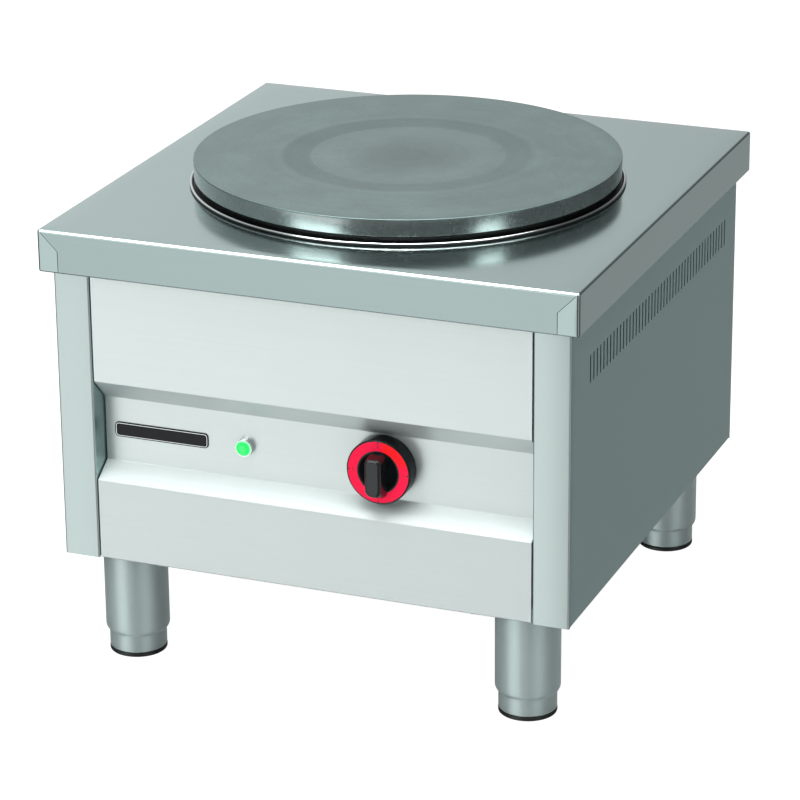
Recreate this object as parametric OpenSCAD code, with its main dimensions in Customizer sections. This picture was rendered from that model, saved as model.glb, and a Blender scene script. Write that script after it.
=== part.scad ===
// Free-standing electric stove with one round cast-iron hot plate on a sheet-steel cabinet.
// X runs to the right, Y to the back and Z up. The origin lies on the floor under the middle of the worktop.

/* [Worktop] */
// Width of the worktop from side to side
worktop_w = 515; // [490:5:620]
// Depth of the worktop from front to back
worktop_d = 515; // [490:5:620]
// Thickness of the worktop sheet
worktop_t = 1.5; // [1.2:0.1:3]
// Height of the skirt folded down round the worktop
skirt_h = 40; // [25:1:60]
// Width of the hem folded in at the foot of the skirt
skirt_hem = 5; // [3:0.5:6]
// Width of the tabs that the side skirts wrap round the front
corner_tab_w = 20; // [12:1:30]
// Width of the open seam between a tab and the front skirt
seam_w = 0.6; // [0.3:0.1:1]

/* [Cabinet] */
// How far the cabinet stands in from the edge of the worktop
body_inset = 10; // [9:1:20]
// Height of the cabinet from its lower edge to the worktop sheet
body_h = 316.5; // [290:0.5:400]
// Thickness of the cabinet sheets
wall_t = 1.2; // [0.8:0.1:2]
// Width of the front stiles
stile_w = 35; // [25:1:50]
// How far a stile's inner edge is folded back
stile_return = 28; // [26:1:40]
// Width of the rear edges of the side panels
rear_edge_w = 25; // [20:1:40]
// Width of the flanges along the top and foot of the side panels
flange_w = 16; // [14:1:20]
// Gap between the front panel and a stile
panel_gap = 1.2; // [0.5:0.1:2]
// How far the front panel lies behind the stiles' faces
panel_inset = 1; // [0:0.5:3]
// Height of the bottom pan above the cabinet's lower edge
pan_recess = 12; // [12:1:20]
// Fitting gap between the bottom pan and the walls
pan_fit = 0.3; // [0.1:0.1:0.6]

/* [Control recess] */
// From the top of the worktop down to the upper lip of the recess
recess_drop = 143.8; // [120:0.5:160]
// Depth of the recess behind the front panel
recess_depth = 20.8; // [16:0.2:24]
// Height of the slope above the recess floor
upper_slope_h = 20.8; // [10:0.2:30]
// Height of the slope below the recess floor
lower_slope_h = 13.7; // [8:0.1:25]

/* [Vents] */
// Height of a vent slot
slot_h = 27; // [15:1:40]
// Width of a vent slot
slot_w = 3; // [2:0.5:5]
// Spacing of the vent slots
slot_pitch = 9.2; // [7:0.1:14]
// From the top of the worktop down to the top of the slots
slot_drop = 76.4; // [60:0.2:80]
// Plain length left in front of and behind the slots together
slot_margin = 90; // [70:5:140]
// How far the row of slots lies behind the middle
slot_shift = 6; // [0:1:15]

/* [Hot plate] */
// Diameter of the hot plate
plate_d = 400; // [330:5:420]
// Height of the plate's cooking face above the worktop
plate_rise = 24; // [22:0.5:30]
// Height of the plate's vertical side
plate_side_h = 16; // [12:0.5:18]
// Diameter of the sunk middle of the cooking face
plate_middle_d = 182; // [120:2:200]
// Width of the shallow slope round the sunk middle
plate_slope_w = 26; // [10:1:40]
// Depth of the sunk middle
plate_sink = 1.1; // [0.5:0.1:2]
// Width of the rim collar that carries the plate
collar_w = 10; // [6:1:14]
// Diameter of the heating coils' wire bundle
coil_d = 7; // [5:0.5:9]
// Width of each coil groove
groove_w = 28; // [20:1:30]
// Diameter of the plate's centre stud
centre_stud_d = 10; // [8:1:12]

/* [Knob and lamp] */
// Diameter of the knob
knob_d = 61; // [40:1:74]
// Distance from the recess floor to the knob's face
knob_h = 17; // [16:0.5:26]
// Height of the grip bar above the knob's face
grip_h = 14.5; // [4:0.5:16]
// Width of the grip bar's front
grip_w = 15; // [8:0.5:16]
// From the knob's middle up to the grip bar's front edge
grip_up = 16; // [8:0.5:18]
// From the knob's middle down to the grip bar's front edge
grip_down = 18.5; // [8:0.5:22]
// Depth of the finger hollows beside the grip bar
hollow_depth = 4; // [1:0.5:5]
// Gap round and behind the knob
knob_gap = 0.6; // [0.4:0.1:2]
// Distance of the knob to the right of the middle
knob_x = 65; // [40:1:100]
// Diameter of the switch shaft
shaft_d = 6; // [4:0.5:8]
// Running clearance on the radius of turning parts
running_fit = 0.05; // [0.02:0.01:0.1]
// Distance of the pilot lamp to the left of the middle
lamp_x = 71; // [40:1:90]
// Diameter of the lamp's lens
lens_d = 15; // [10:0.5:20]
// How far the lamp's bezel stands in front of the recess floor
bezel_h = 5.5; // [2:0.5:8]
// Wall of the lamp's bezel
bezel_wall = 0.8; // [0.5:0.1:2]
// Rise of the lens in front of the bezel
lens_crown = 2.3; // [1:0.1:5]
// Distance of the badge plate to the left of the middle
badge_x = 155; // [145:1:160]
// Width of the badge plate
badge_w = 94; // [40:1:100]
// Height of the badge plate
badge_h = 14.6; // [8:0.2:20]

/* [Legs] */
// Height of the cabinet's lower edge above the floor
leg_h = 104; // [96:1:140]
// Diameter of a leg tube
leg_d = 60; // [45:1:64]
// Wall of a leg tube
leg_wall = 2; // [1.5:0.1:3]
// Height of the tube's lower end above the floor, with the foot screwed home
tube_end_h = 20; // [14:1:30]
// From the cabinet's side to a leg's middle
leg_side = 52.5; // [50:0.5:70]
// From the cabinet's front to a front leg's middle
leg_front = 39.6; // [39:0.1:60]
// From the cabinet's back to a back leg's middle
leg_back = 43; // [39:0.5:60]
// How far a foot can be screwed out
foot_travel = 25; // [10:1:30]
// Thickness of the plastic foot pad
pad_h = 4; // [3:0.5:8]
// Diameter of the threaded rod in a foot
rod_d = 16; // [12:1:20]
// Gap between a foot sleeve and the rolled end of its tube
sleeve_gap = 0.4; // [0.3:0.1:1]

/* [Supply] */
// Diameter of the hole for the supply cable
cable_bore_d = 17; // [12:0.5:18]
// Diameter of the equipotential bonding stud
bond_stud_d = 6; // [5:1:8]
// Diameter of the inside wires
wire_d = 3; // [2:0.5:4]

/* [Hidden] */
$fn = 96;

// colours
STEEL = [0.72, 0.75, 0.74];
DARK_STEEL = [0.55, 0.58, 0.58];
IRON = [0.42, 0.45, 0.45];
ZINC = [0.66, 0.67, 0.66];
BLACK = [0.08, 0.08, 0.09];
CERAMIC = [0.92, 0.9, 0.84];
BRASS = [0.75, 0.6, 0.3];

// cabinet
top_z = leg_h + body_h + worktop_t;
body_top_z = leg_h + body_h;
skirt_z = top_z - skirt_h;
body_w = worktop_w - 2 * body_inset;
body_d = worktop_d - 2 * body_inset;
side_x = body_w / 2;
front_y = -body_d / 2;
back_y = body_d / 2;
stile_x = side_x - stile_w;
panel_half_w = stile_x - panel_gap;
panel_y = front_y + panel_inset;
pan_z = leg_h + pan_recess;
pan_top_z = pan_z + wall_t;
pan_front_y = panel_y + wall_t + pan_fit;
pan_back_y = back_y - 2 * wall_t - pan_fit;
pan_half_w = side_x - wall_t - pan_fit;
lip_d = 16;
front_screw_inset = 9.5;
screw_d = 4;
hole_fit = 0.2;

// legs and feet
leg_x = side_x - leg_side;
front_leg_y = front_y + leg_front;
back_leg_y = back_y - leg_back;
FRONT_LEFT = [-leg_x, front_leg_y];
FRONT_RIGHT = [leg_x, front_leg_y];
BACK_LEFT = [-leg_x, back_leg_y];
BACK_RIGHT = [leg_x, back_leg_y];
LEGS = [FRONT_LEFT, FRONT_RIGHT, BACK_LEFT, BACK_RIGHT];
flange_t = 3;
tube_bore_r = leg_d / 2 - leg_wall;
sleeve_r = tube_bore_r - 0.8 - sleeve_gap;
rolled_bore_r = sleeve_r + sleeve_gap;
sleeve_wall = 1.5;
sleeve_z = pad_h + 0.3;
sleeve_floor_t = 4;
bush_t = 12;
sleeve_top_z = tube_end_h + foot_travel + 15;
bush_z = sleeve_top_z + 0.5;
rod_top_z = min(bush_z + bush_t + foot_travel - 3, pan_z - flange_t - 1);
rod_r = rod_d / 2;
swivel_r = 5;
swivel_h = 8;
leg_bolt_d = 6;
leg_bolt_af = 10;
leg_bolt_clear = 1;
leg_bolt_pitch = (leg_d / 2 + leg_bolt_af / 2 / cos(30) + leg_bolt_clear) / sqrt(2);
leg_flange_half = leg_bolt_pitch + 8;
lip_half_w = leg_x - leg_d / 2 - 4;

// front recess
lip_z = top_z - recess_drop;
recess_ceiling_z = lip_z - upper_slope_h;
recess_floor_h = knob_d + 2 * knob_gap;
recess_sill_z = recess_ceiling_z - recess_floor_h;
recess_toe_z = recess_sill_z - lower_slope_h;
control_z = recess_sill_z + recess_floor_h / 2;
recess_y = panel_y + recess_depth;
recess_back_y = recess_y + wall_t;

// hot plate, heights above the floor
plate_r = plate_d / 2;
plate_top_z = top_z + plate_rise;
plate_side_z = plate_top_z - plate_side_h;
trim_t = 1;
collar_z = top_z + trim_t;
collar_r = plate_r - 3.5;
cutout_r = collar_r - collar_w - 1.5;
web_t = 12;
groove_top_z = plate_top_z - web_t;
plate_rim_w = 24;
coil_pitch_share = 40 / 147;
outer_coil_r = cutout_r - plate_rim_w - groove_w / 2;
coil_pitch = coil_pitch_share * outer_coil_r;
middle_coil_r = outer_coil_r - coil_pitch;
inner_coil_r = middle_coil_r - coil_pitch;
COIL_RADII = [inner_coil_r, middle_coil_r, outer_coil_r];
coil_z = (groove_top_z + collar_z) / 2;
cover_t = 1;

// what clamps the plate down
stiffener_h = 18;
stiffener_w = 28;
stiffener_t = 1.5;
stiffener_x = (cutout_r + side_x - flange_w) / 2;
bridge_t = 4;
bridge_w = 30;
bridge_z = body_top_z - stiffener_h - bridge_t;
bridge_washer_t = 2;
bridge_nut_h = 8;
bridge_nut_af = 17;

// plate terminals: each pin stands under its coil
pin_d = 4;
pin_x = inner_coil_r - 7;
common_pin_x = pin_x + 16;
function under_coil(x, r) = [x, -sqrt(r * r - x * x)];
PINS = [
    under_coil(pin_x, inner_coil_r), under_coil(pin_x, middle_coil_r),
    under_coil(pin_x, outer_coil_r), under_coil(common_pin_x, middle_coil_r)
];
block_h = 20;
block_margin = 8;
block_top_z = collar_z - cover_t;
pin_foot_z = block_top_z - block_h - 5;

// heat shield between the vents and the recess
shield_z = (top_z - slot_drop - slot_h + lip_z) / 2;
shield_rise = 14;
shield_front_y = front_y + stile_return + 2;
insulation_t = 12;

// switch and its terminals
switch_w = 44;
switch_d = 38;
switch_screw_x = 14;
switch_back_y = recess_back_y + switch_d;
terminal_l = 8;
wire_start_y = switch_back_y + terminal_l;
output_x = knob_x - 7;
common_output_x = knob_x + 9;
output_zs = [control_z - 4, control_z + 4, control_z + 12];
common_output_z = control_z + 18;
input_z = control_z - 16;
input_pitch = 10;
supply_x = knob_x - 3;
INPUT_XS = [supply_x - input_pitch, supply_x, supply_x + input_pitch];

// supply terminals, gland and bonding stud
supply_y = 0.24 * body_d;
supply_block_w = 60;
supply_block_d = 26;
supply_block_h = 22;
supply_wire_z = pan_top_z + supply_block_h / 2;
gland_y = back_leg_y - 20;
gland_af = 32;
gland_thread_d = 25;
gland_hex_h = 8;
gland_dome_h = 22;
bond_x = leg_x - 25;
bond_z = pan_z + 30;
bond_nut_h = 5;
bond_nut_af = 10;

// Box between two opposite corners.
module block(low, high) {
    translate(low)
        cube(high - low);
}

// Rod of radius r along Y, from y0 to y1.
module rod_y(x, z, y0, y1, r) {
    translate([x, y0, z])
        rotate([-90, 0, 0])
            cylinder(r = r, h = y1 - y0);
}

// Six-sided prism with its width given across the flats.
module hex(af, h) {
    cylinder(d = af / cos(30), h = h, $fn = 6);
}

// Puts its children on the recess floor, their Z pointing out of the front.
module on_recess(x) {
    translate([x, recess_y, control_z])
        rotate([90, 0, 0])
            children();
}

// Left-hand normal of the line from a to b.
function side_of(a, b) = let (u = (b - a) / norm(b - a)) [-u[1], u[0]];

// Point i of line p moved sideways by t, on the mitre of its two edges.
function mitred(p, i, t) =
    let (
        j = max(i - 1, 0),
        k = min(i, len(p) - 2),
        before = side_of(p[j], p[j + 1]),
        after = side_of(p[k], p[k + 1])
    )
    p[i] + t * (before + after) / (1 + before * after);

// Outline of a folded sheet whose outer face is the line p.
function folded(p, t) = concat(p, [for (i = [len(p) - 1:-1:0]) mitred(p, i, t)]);

// Quarter round from angle a0 to a1 about centre c.
function arc(c, r, a0, a1, steps = 5) =
    [for (i = [0:steps]) let (a = a0 + (a1 - a0) * i / steps) c + r * [cos(a), sin(a)]];

// Extrudes an outline given in Y and Z along X, centred.
module along_x(w, outline) {
    translate([-w / 2, 0, 0])
        rotate([90, 0, 90])
            linear_extrude(w)
                polygon(outline);
}

// Points of a line, less those that lie where the point before them lies.
function without_repeats(p) =
    [for (i = [0:len(p) - 1]) if (i == 0 || norm(p[i] - p[max(i - 1, 0)]) > 0.01) p[i]];

// Wire through a list of points, with round corners.
module wire(points) {
    for (i = [0:len(points) - 2]) {
        run = points[i + 1] - points[i];
        length = norm(run);
        translate(points[i])
            rotate([0, acos(run[2] / length), atan2(run[1], run[0])])
                cylinder(d = wire_d, h = length, $fn = 24);
    }
    if (len(points) > 2) {
        for (i = [1:len(points) - 2]) {
            translate(points[i])
                sphere(d = wire_d, $fn = 24);
        }
    }
}

// Pan-head screw; its head stands on the plane z = 0 and its shank goes down.
module pan_screw(d, shank) {
    translate([0, 0, -shank])
        cylinder(d = d, h = shank);
    difference() {
        cylinder(d = 2 * d, h = 0.6 * d);
        translate([-d, -d / 10, 0.35 * d])
            cube([2 * d, d / 5, d]);
    }
}

// ---- worktop ----

module corner_seam(side) {
    x = side * (worktop_w / 2 - corner_tab_w);
    corner = [side * (worktop_w / 2 - worktop_t), top_z - worktop_t];
    bend = [x, top_z - worktop_t - (corner_tab_w - worktop_t)];
    line = [corner, bend, [x, skirt_z - 1]];
    translate([0, -worktop_d / 2 + worktop_t + skirt_hem + 1, 0])
        rotate([90, 0, 0])
            linear_extrude(worktop_t + skirt_hem + 2)
                polygon(folded(line, -side * seam_w));
}

stud_d = 5;
stud_l = 12;
stud_x = side_x - flange_w / 2 - wall_t / 2;
stud_y = 0.36 * body_d;

module at_worktop_studs() {
    for (x = [-stud_x, stud_x], y = [-stud_y, stud_y])
        translate([x, y, body_top_z])
            children();
}

module worktop() {
    half = [worktop_w / 2, worktop_d / 2];
    inner = half - [worktop_t, worktop_t];
    hem = inner - [skirt_hem, skirt_hem];
    color(STEEL) {
        difference() {
            block([-half[0], -half[1], skirt_z], [half[0], half[1], top_z]);
            block(
                [-inner[0], -inner[1], skirt_z + worktop_t],
                [inner[0], inner[1], body_top_z]
            );
            block([-hem[0], -hem[1], skirt_z - 1], [hem[0], hem[1], skirt_z + 2 * worktop_t]);
            translate([0, 0, body_top_z - 1])
                cylinder(r = cutout_r, h = worktop_t + 2);
            corner_seam(-1);
            corner_seam(1);
        }
        at_worktop_studs()
            translate([0, 0, -stud_l])
                cylinder(d = stud_d, h = stud_l);
    }
}

module worktop_nuts() {
    color(ZINC)
        at_worktop_studs()
            translate([0, 0, -wall_t - 4])
                difference() {
                    hex(8, 4);
                    translate([0, 0, -1])
                        cylinder(d = stud_d, h = 6);
                }
}

// Hat-section channel under the worktop beside the plate.
module stiffener(side) {
    half = stiffener_w / 2;
    foot = 7;
    line = [
        [-half, body_top_z], [-half + foot, body_top_z],
        [-half + foot, body_top_z - stiffener_h], [half - foot, body_top_z - stiffener_h],
        [half - foot, body_top_z], [half, body_top_z]
    ];
    length = body_d - stile_return - 40;
    color(ZINC)
        translate([side * stiffener_x, (length + 12) / 2, 0])
            rotate([90, 0, 0])
                linear_extrude(length)
                    polygon(hat(line));
}

// Outline of the hat section, with its sheet thickness inside the channel.
function hat(p) = [
    p[0], p[1] + [stiffener_t, 0], p[2] + [stiffener_t, stiffener_t],
    p[3] + [-stiffener_t, stiffener_t], p[4] + [-stiffener_t, 0], p[5],
    p[5] - [0, stiffener_t], p[4] - [0, stiffener_t], p[3], p[2], p[1] - [0, stiffener_t],
    p[0] - [0, stiffener_t]
];

// ---- cabinet ----

return_foot_z = pan_top_z + flange_t + 10;

module right_side() {
    line = [
        [side_x - rear_edge_w, back_y], [side_x, back_y], [side_x, front_y],
        [stile_x, front_y], [stile_x, front_y + stile_return]
    ];
    flange_x0 = side_x - flange_w;
    flange_y0 = front_y + wall_t / 2;
    flange_y1 = back_y - 2 * wall_t - 0.2;
    slots = floor((body_d - slot_margin) / slot_pitch) + 1;
    slot_top_z = top_z - slot_drop;
    difference() {
        union() {
            translate([0, 0, leg_h])
                linear_extrude(body_h)
                    polygon(folded(line, -wall_t));
            block([flange_x0, flange_y0, leg_h], [side_x - wall_t / 2, flange_y1, leg_h + wall_t]);
            block(
                [flange_x0, flange_y0, body_top_z - wall_t],
                [side_x - wall_t / 2, flange_y1, body_top_z]
            );
        }
        block(
            [stile_x - 1, front_y + wall_t, leg_h - 1],
            [stile_x + 2 * wall_t, front_y + stile_return + 1, return_foot_z]
        );
        for (i = [0:slots - 1]) {
            y = slot_shift + (i - (slots - 1) / 2) * slot_pitch;
            block(
                [side_x - wall_t - 1, y - slot_w / 2, slot_top_z - slot_h],
                [side_x + 1, y + slot_w / 2, slot_top_z]
            );
        }
        at_worktop_studs()
            translate([0, 0, -wall_t - 1])
                cylinder(d = stud_d + hole_fit, h = wall_t + 2);
        at_rear_screws()
            translate([0, 0, -3 * wall_t])
                cylinder(d = screw_d, h = 4 * wall_t);
    }
}

module left_side_panel() {
    color(STEEL)
        mirror([1, 0, 0])
            right_side();
}

module right_side_panel() {
    color(STEEL)
        right_side();
}

module front_panel() {
    line = [
        [panel_y + lip_d, leg_h], [panel_y, leg_h], [panel_y, recess_toe_z],
        [recess_y, recess_sill_z], [recess_y, recess_ceiling_z], [panel_y, lip_z],
        [panel_y, body_top_z], [panel_y + lip_d, body_top_z]
    ];
    color(STEEL)
        difference() {
            along_x(2 * panel_half_w, folded(line, -wall_t));
            for (side = [-1, 1])
                translate([side * (lip_half_w + panel_half_w) / 2, 0, 0])
                    block(
                        [-(panel_half_w - lip_half_w) / 2 - 1, panel_y + wall_t, leg_h - 1],
                        [(panel_half_w - lip_half_w) / 2 + 1, panel_y + lip_d + 1, leg_h + 3]
                    );
            rod_y(knob_x, control_z, recess_y - 1, recess_back_y + 1, shaft_d);
            for (side = [-1, 1])
                rod_y(
                    knob_x + side * switch_screw_x, control_z, recess_y - 1, recess_back_y + 1,
                    (screw_d + hole_fit) / 2
                );
            rod_y(-lamp_x, control_z, recess_y - 1, recess_back_y + 1, lamp_hole_r);
            at_front_screws()
                translate([0, 0, -2 * wall_t])
                    cylinder(d = screw_d, h = 3 * wall_t);
        }
}

module back_panel() {
    edge = side_x - wall_t - pan_fit;
    y = back_y - wall_t;
    color(STEEL)
        difference() {
            union() {
                block([-edge, y - wall_t, leg_h], [edge, y, body_top_z]);
                block([-stud_x + 20, y - lip_d, body_top_z - wall_t], [stud_x - 20, y, body_top_z]);
            }
            rod_y(bond_x, bond_z, y - 2 * wall_t, y + 1, (bond_stud_d + hole_fit) / 2);
            at_rear_screws()
                translate([0, 0, -3 * wall_t])
                    cylinder(d = screw_d, h = 4 * wall_t);
            mirror([1, 0, 0])
                at_rear_screws()
                    translate([0, 0, -3 * wall_t])
                        cylinder(d = screw_d, h = 4 * wall_t);
        }
}

// Inverted tray that closes the cabinet's underside and stands on its flanges.
module bottom_pan() {
    foot_z = leg_h + wall_t;
    rim = [pan_half_w - wall_t, pan_front_y + wall_t, pan_back_y - wall_t];
    vent_l = 0.3 * body_w;
    color(ZINC)
        difference() {
            union() {
                difference() {
                    block([-pan_half_w, pan_front_y, foot_z], [pan_half_w, pan_back_y, pan_top_z]);
                    block([-rim[0], rim[1], foot_z - 1], [rim[0], rim[2], pan_z]);
                }
                block(
                    [-lip_half_w, pan_front_y, foot_z],
                    [lip_half_w, panel_y + lip_d, foot_z + wall_t]
                );
            }
            at_front_screws()
                translate([0, 0, -4 * wall_t])
                    cylinder(d = screw_d, h = 8 * wall_t);
            for (leg = LEGS)
                at_bolts(leg)
                    translate([0, 0, pan_z - 1])
                        cylinder(d = leg_bolt_d, h = wall_t + 2);
            for (row = [-4:4])
                if (row != 0)
                    block(
                        [-vent_l / 2, row * 16 - 2.5, pan_z - 1],
                        [vent_l / 2, row * 16 + 2.5, pan_top_z + 1]
                    );
            translate([supply_x, gland_y, pan_z - 1])
                cylinder(d = gland_thread_d, h = wall_t + 2);
        }
}

// ---- fasteners of the cabinet ----

module at_front_screws() {
    for (side = [-1, 1])
        translate([side * (lip_half_w - 7), panel_y + front_screw_inset, leg_h])
            children();
}

// Right-hand screws of the back panel, their Z pointing out of the back.
module at_rear_screws() {
    for (share = [0.15, 0.5, 0.85])
        translate([side_x - rear_edge_w / 2, back_y, leg_h + share * body_h])
            rotate([-90, 0, 0])
                children();
}

module panel_screws() {
    color(ZINC) {
        at_rear_screws()
            pan_screw(screw_d, 8);
        mirror([1, 0, 0])
            at_rear_screws()
                pan_screw(screw_d, 8);
        at_front_screws()
            rotate([180, 0, 0])
                pan_screw(screw_d, 8);
    }
}

// The four bolt places of one leg, at floor height.
module at_bolts(leg) {
    for (dx = [-1, 1], dy = [-1, 1])
        translate([leg[0] + dx * leg_bolt_pitch, leg[1] + dy * leg_bolt_pitch, 0])
            children();
}

module leg_bolts() {
    color(ZINC)
        for (leg = LEGS)
            at_bolts(leg)
                translate([0, 0, pan_z - flange_t - 4]) {
                    hex(leg_bolt_af, 4);
                    cylinder(d = leg_bolt_d, h = 4 + flange_t + wall_t + 7);
                }
}

module leg_nuts() {
    color(ZINC)
        for (leg = LEGS)
            at_bolts(leg)
                translate([0, 0, pan_top_z])
                    difference() {
                        hex(leg_bolt_af, 5);
                        translate([0, 0, -1])
                            cylinder(d = leg_bolt_d, h = 7);
                    }
}

// ---- legs and feet ----

// Round tube with its mounting flange and threaded bush, and its lower end rolled in.
module leg_tube(leg) {
    r = leg_d / 2;
    roll = 7;
    flange_z = pan_z - flange_t;
    outline = concat(
        [[rolled_bore_r, tube_end_h]],
        arc([r - roll, tube_end_h + roll], roll, -50, 0, 6),
        [[r, flange_z], [tube_bore_r, flange_z], [tube_bore_r, bush_z + bush_t]],
        [[rod_r + running_fit, bush_z + bush_t], [rod_r + running_fit, bush_z]],
        [[tube_bore_r, bush_z], [tube_bore_r, tube_end_h + roll]],
        [[rolled_bore_r, tube_end_h + 2]]
    );
    color(STEEL)
        translate([leg[0], leg[1], 0]) {
            rotate_extrude()
                polygon(outline);
            difference() {
                translate([-leg_flange_half, -leg_flange_half, flange_z])
                    cube([2 * leg_flange_half, 2 * leg_flange_half, flange_t]);
                for (dx = [-1, 1], dy = [-1, 1])
                    translate([dx * leg_bolt_pitch, dy * leg_bolt_pitch, flange_z - 1])
                        cylinder(d = leg_bolt_d, h = flange_t + 2);
                translate([0, 0, flange_z - 1])
                    cylinder(r = rod_r + 2, h = flange_t + 2);
            }
        }
}

// Sleeve that slides in the leg tube, closed below, with its threaded rod welded in.
module foot_sleeve(leg) {
    r = sleeve_r;
    outline = [
        [swivel_r + running_fit, sleeve_z], [r - 0.8, sleeve_z], [r, sleeve_z + 0.8],
        [r, sleeve_top_z], [r - sleeve_wall, sleeve_top_z],
        [r - sleeve_wall, sleeve_z + sleeve_floor_t], [rod_r, sleeve_z + sleeve_floor_t],
        [rod_r, rod_top_z - 1], [rod_r - 1, rod_top_z], [0, rod_top_z],
        [0, sleeve_z + swivel_h + 1], [swivel_r + running_fit, sleeve_z + swivel_h + 1]
    ];
    color(STEEL)
        translate([leg[0], leg[1], 0])
            rotate_extrude()
                polygon(outline);
}

// Plastic pad with the pin on which the sleeve turns.
module foot_pad(leg) {
    r = sleeve_r + 0.2;
    outline = [
        [0, 0], [r - 2, 0], [r, 1.5], [r, pad_h], [swivel_r, pad_h],
        [swivel_r, pad_h + swivel_h - 0.5], [swivel_r - 0.5, pad_h + swivel_h], [0, pad_h + swivel_h]
    ];
    color(BLACK)
        translate([leg[0], leg[1], 0])
            rotate_extrude()
                polygon(outline);
}

// ---- hot plate ----

// Cast plate: sunk middle, rounded rim, carrying collar and three grooves underneath.
module hot_plate() {
    edge = 2;
    top = plate_top_z;
    middle_r = plate_middle_d / 2;
    outline = concat(
        [[0, top - plate_sink], [middle_r, top - plate_sink], [middle_r + plate_slope_w, top]],
        arc([plate_r - edge, top - edge], edge, 90, 0),
        [[plate_r, plate_side_z + 1], [plate_r - 1, plate_side_z], [collar_r, plate_side_z]],
        [[collar_r, collar_z], [0, collar_z]]
    );
    color(IRON)
        difference() {
            rotate_extrude($fn = 180)
                polygon(outline);
            for (r = COIL_RADII)
                coil_groove(r);
            translate([0, 0, collar_z - 1])
                cylinder(d = centre_stud_d, h = groove_top_z - collar_z + 1);
        }
}

module coil_groove(r) {
    rotate_extrude()
        translate([r - groove_w / 2, collar_z - 1])
            square([groove_w, groove_top_z - collar_z + 1]);
}

module coil(r) {
    color(DARK_STEEL)
        translate([0, 0, coil_z])
            rotate_extrude()
                translate([r, 0])
                    circle(d = coil_d, $fn = 32);
}

module embedding_compound() {
    color(CERAMIC)
        difference() {
            for (r = COIL_RADII)
                rotate_extrude()
                    translate([r - groove_w / 2, collar_z])
                        square([groove_w, groove_top_z - collar_z]);
            for (r = COIL_RADII)
                translate([0, 0, coil_z])
                    rotate_extrude()
                        translate([r, 0])
                            circle(d = coil_d, $fn = 32);
            at_pins()
                translate([0, 0, collar_z - 1])
                    cylinder(d = pin_d, h = coil_z - collar_z + 1);
        }
}

module outer_coil() {
    coil(outer_coil_r);
}

module middle_coil() {
    coil(middle_coil_r);
}

module inner_coil() {
    coil(inner_coil_r);
}

// Rolled ring between the plate's collar and the worktop.
module trim_ring() {
    bead_r = 1.6;
    bead_x = plate_r + 2.4;
    outline = concat(
        [[cutout_r + 0.5, top_z], [bead_x + bead_r, top_z]],
        arc([bead_x, top_z + bead_r], bead_r, 0, 180, 8),
        [[bead_x - bead_r, top_z + trim_t], [cutout_r + 0.5, top_z + trim_t]]
    );
    color([0.85, 0.87, 0.87])
        rotate_extrude($fn = 180)
            polygon(outline);
}

module at_pins() {
    for (pin = PINS)
        translate(pin)
            children();
}

module plate_base_cover() {
    color(ZINC)
        difference() {
            translate([0, 0, block_top_z])
                cylinder(r = cutout_r - 1, h = cover_t);
            translate([0, 0, block_top_z - 1])
                cylinder(d = centre_stud_d + 1, h = cover_t + 2);
            at_pins()
                translate([0, 0, block_top_z - 1])
                    cylinder(d = pin_d + 1, h = cover_t + 2);
        }
}

module centre_stud() {
    foot_z = bridge_z - bridge_washer_t - bridge_nut_h - 5;
    color(ZINC)
        translate([0, 0, foot_z])
            cylinder(d = centre_stud_d, h = groove_top_z - foot_z);
}

module mounting_bridge() {
    half = stiffener_x + stiffener_w / 2 - 2;
    color(ZINC)
        difference() {
            block(
                [-half, -bridge_w / 2, bridge_z], [half, bridge_w / 2, bridge_z + bridge_t]
            );
            translate([0, 0, bridge_z - 1])
                cylinder(d = centre_stud_d + 0.5, h = bridge_t + 2);
        }
}

module bridge_washer() {
    color(ZINC)
        translate([0, 0, bridge_z - bridge_washer_t])
            difference() {
                cylinder(d = 2.2 * centre_stud_d, h = bridge_washer_t);
                translate([0, 0, -1])
                    cylinder(d = centre_stud_d + 0.5, h = bridge_washer_t + 2);
            }
}

module bridge_nut() {
    color(ZINC)
        translate([0, 0, bridge_z - bridge_washer_t - bridge_nut_h])
            difference() {
                hex(bridge_nut_af, bridge_nut_h);
                translate([0, 0, -1])
                    cylinder(d = centre_stud_d, h = bridge_nut_h + 2);
            }
}

// Porcelain strip that carries the pins of the three coils and the common pin.
module plate_terminal_block() {
    low = [pin_x - block_margin, PINS[2][1] - block_margin, block_top_z - block_h];
    high = [common_pin_x + block_margin, PINS[0][1] + block_margin, block_top_z];
    color(CERAMIC)
        difference() {
            block(low, high);
            at_pins()
                translate([0, 0, low[2] - 1])
                    cylinder(d = pin_d, h = block_h + 2);
        }
}

module plate_terminal_pins() {
    color(BRASS)
        difference() {
            at_pins()
                translate([0, 0, pin_foot_z])
                    cylinder(d = pin_d, h = coil_z - pin_foot_z);
            for (r = COIL_RADII)
                translate([0, 0, coil_z])
                    rotate_extrude()
                        translate([r, 0])
                            circle(d = coil_d, $fn = 32);
        }
}

// Opening in the shield and the pad through which the wires reach the plate.
module wire_slot(z, h) {
    block(
        [pin_x - block_margin, PINS[2][1] - block_margin, z],
        [common_pin_x + block_margin, PINS[0][1] + block_margin, z + h]
    );
}

module heat_shield() {
    half = side_x - wall_t;
    shield_back_y = pan_back_y;
    color(ZINC)
        difference() {
            block([-half, shield_front_y, shield_z], [half, shield_back_y, shield_z + shield_rise]);
            block(
                [-half + 1, shield_front_y - 1, shield_z + 1],
                [half - 1, shield_back_y - 1, shield_z + shield_rise + 1]
            );
            wire_slot(shield_z - 1, 3);
        }
}

module insulation_pad() {
    color(CERAMIC)
        difference() {
            translate([0, 0, shield_z + 1])
                cylinder(r = cutout_r - 5, h = insulation_t);
            wire_slot(shield_z, insulation_t + 2);
        }
}

// ---- switch, knob, lamp and badge ----

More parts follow.
